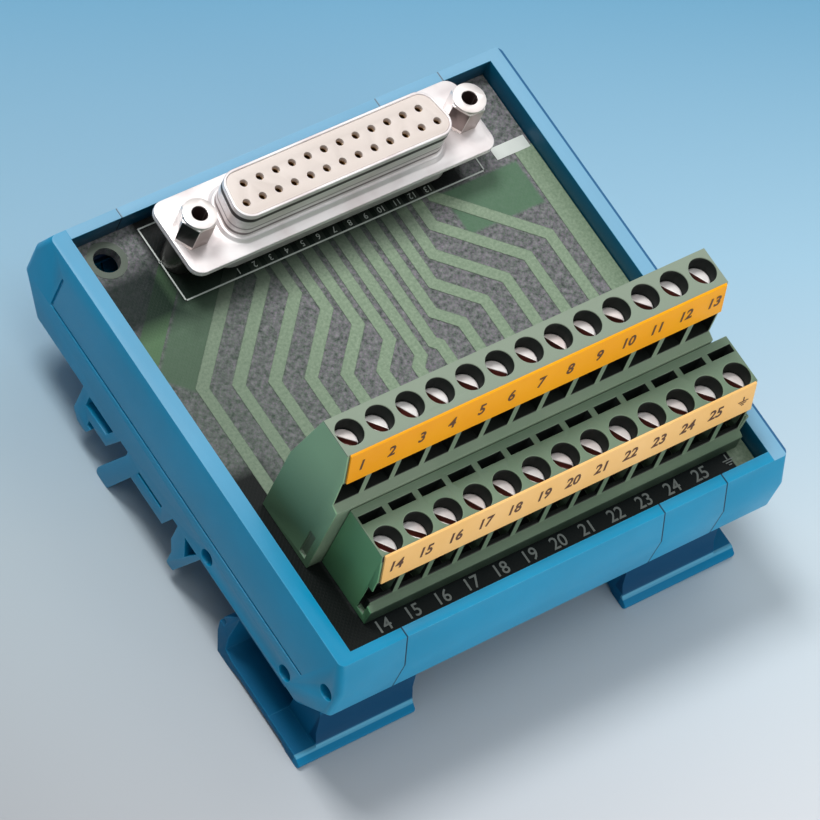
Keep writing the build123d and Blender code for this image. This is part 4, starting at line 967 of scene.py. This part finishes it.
def make_floor():
    """Plain pale floor: near white in front, with painted shade that darkens it to the left,
    pale blue at the back.
    """
    bm = bmesh.new()
    bmesh.ops.create_grid(bm, x_segments=1, y_segments=1, size=FLOOR_SIZE)
    mesh = bpy.data.meshes.new("floor")
    bm.to_mesh(mesh)
    bm.free()
    floor = bpy.data.objects.new("floor", mesh)
    bpy.context.scene.collection.objects.link(floor)
    material, tree, shader = start_material("floor_paper", Roughness=0.9,
                                            Specular_IOR_Level=0.1)
    place = add_node(tree, "ShaderNodeTexCoord", (-1100, 0))
    along = add_node(tree, "ShaderNodeVectorMath", (-900, 0), operation="DOT_PRODUCT")
    along.inputs[1].default_value = FLOOR_BACKWARD
    share = add_node(tree, "ShaderNodeMapRange", (-700, 0),
                     From_Min=FLOOR_FADE[0], From_Max=FLOOR_FADE[1])
    ramp = add_node(tree, "ShaderNodeValToRGB", (-500, 0))
    ramp.color_ramp.elements[0].color = FLOOR_COLOURS[0][1]
    ramp.color_ramp.elements[1].color = FLOOR_COLOURS[-1][1]
    for position, colour in FLOOR_COLOURS[1:-1]:
        ramp.color_ramp.elements.new(position).color = colour
    # Painted shade to the left and painted light to the right, across the floor.
    across = add_node(tree, "ShaderNodeVectorMath", (-900, -300), operation="DOT_PRODUCT")
    across.inputs[1].default_value = FLOOR_RIGHTWARD
    level = add_node(tree, "ShaderNodeMapRange", (-700, -300),
                     From_Min=FLOOR_SIDE_FADE[0], From_Max=FLOOR_SIDE_FADE[1],
                     To_Min=FLOOR_SIDE_LIGHT[0], To_Max=FLOOR_SIDE_LIGHT[1])
    even = add_node(tree, "ShaderNodeMix", (-500, -300), B=1.0)
    spread = add_node(tree, "ShaderNodeVectorMath", (-200, 0), operation="SCALE")
    tree.links.new(place.outputs["Object"], along.inputs[0])
    tree.links.new(along.outputs["Value"], share.inputs["Value"])
    tree.links.new(place.outputs["Object"], across.inputs[0])
    tree.links.new(across.outputs["Value"], level.inputs["Value"])
    tree.links.new(share.outputs["Result"], even.inputs["Factor"])
    tree.links.new(level.outputs["Result"], even.inputs["A"])
    tree.links.new(share.outputs["Result"], ramp.inputs["Fac"])
    tree.links.new(ramp.outputs["Color"], spread.inputs[0])
    tree.links.new(even.outputs["Result"], spread.inputs["Scale"])
    tree.links.new(spread.outputs[0], shader.inputs["Base Color"])
    mesh.materials.append(material)


def add_softbox(name, place, target, size, power, colour=(1, 1, 1)):
    """Rectangular soft light that faces a point."""
    light = bpy.data.lights.new(name, "AREA")
    light.shape = "RECTANGLE"
    light.size, light.size_y = size
    light.energy = power
    light.color = colour
    lamp = bpy.data.objects.new(name, light)
    bpy.context.scene.collection.objects.link(lamp)
    lamp.location = place
    facing = Vector(target) - Vector(place)
    lamp.rotation_euler = facing.to_track_quat("-Z", "Y").to_euler()


def make_world():
    """Pale surroundings that light the part evenly."""
    world = bpy.data.worlds.new("studio")
    bpy.context.scene.world = world
    world.use_nodes = True
    background = world.node_tree.nodes["Background"]
    background.inputs["Color"].default_value = WORLD_COLOUR
    background.inputs["Strength"].default_value = WORLD_STRENGTH


def make_camera():
    """Camera where the photo was taken from, with its long lens."""
    data = bpy.data.cameras.new("camera")
    data.sensor_fit = "HORIZONTAL"
    data.sensor_width = CAMERA_SENSOR
    data.lens = CAMERA_LENS
    data.clip_start = CAMERA_NEAR
    data.clip_end = CAMERA_FAR
    camera = bpy.data.objects.new("camera", data)
    bpy.context.scene.collection.objects.link(camera)
    axes = (Vector(CAMERA_RIGHT), Vector(CAMERA_UP), Vector(CAMERA_BACK))
    turn = Matrix(axes).transposed().to_4x4()
    camera.matrix_world = Matrix.Translation(Vector(CAMERA_PLACE) * MM) @ turn
    bpy.context.scene.camera = camera


make_floor()
make_world()
add_softbox("key", (-0.15, 0.42, 0.85), LAMP_AIM, (0.26, 0.24), 5.7)
add_softbox("card", (0.46, 0.30, 0.80), LAMP_AIM, (0.7, 0.7), 1.9)
add_softbox("top", (-0.20, -0.12, 0.95), LAMP_AIM, (0.5, 0.5), 1.9)
add_softbox("front_fill", (0.15, -0.85, 0.15), (0, 0, 0.03), (0.7, 0.24), 3.7,
            (1.0, 0.98, 0.95))
make_camera()
bpy.context.scene.view_settings.view_transform = "Standard"
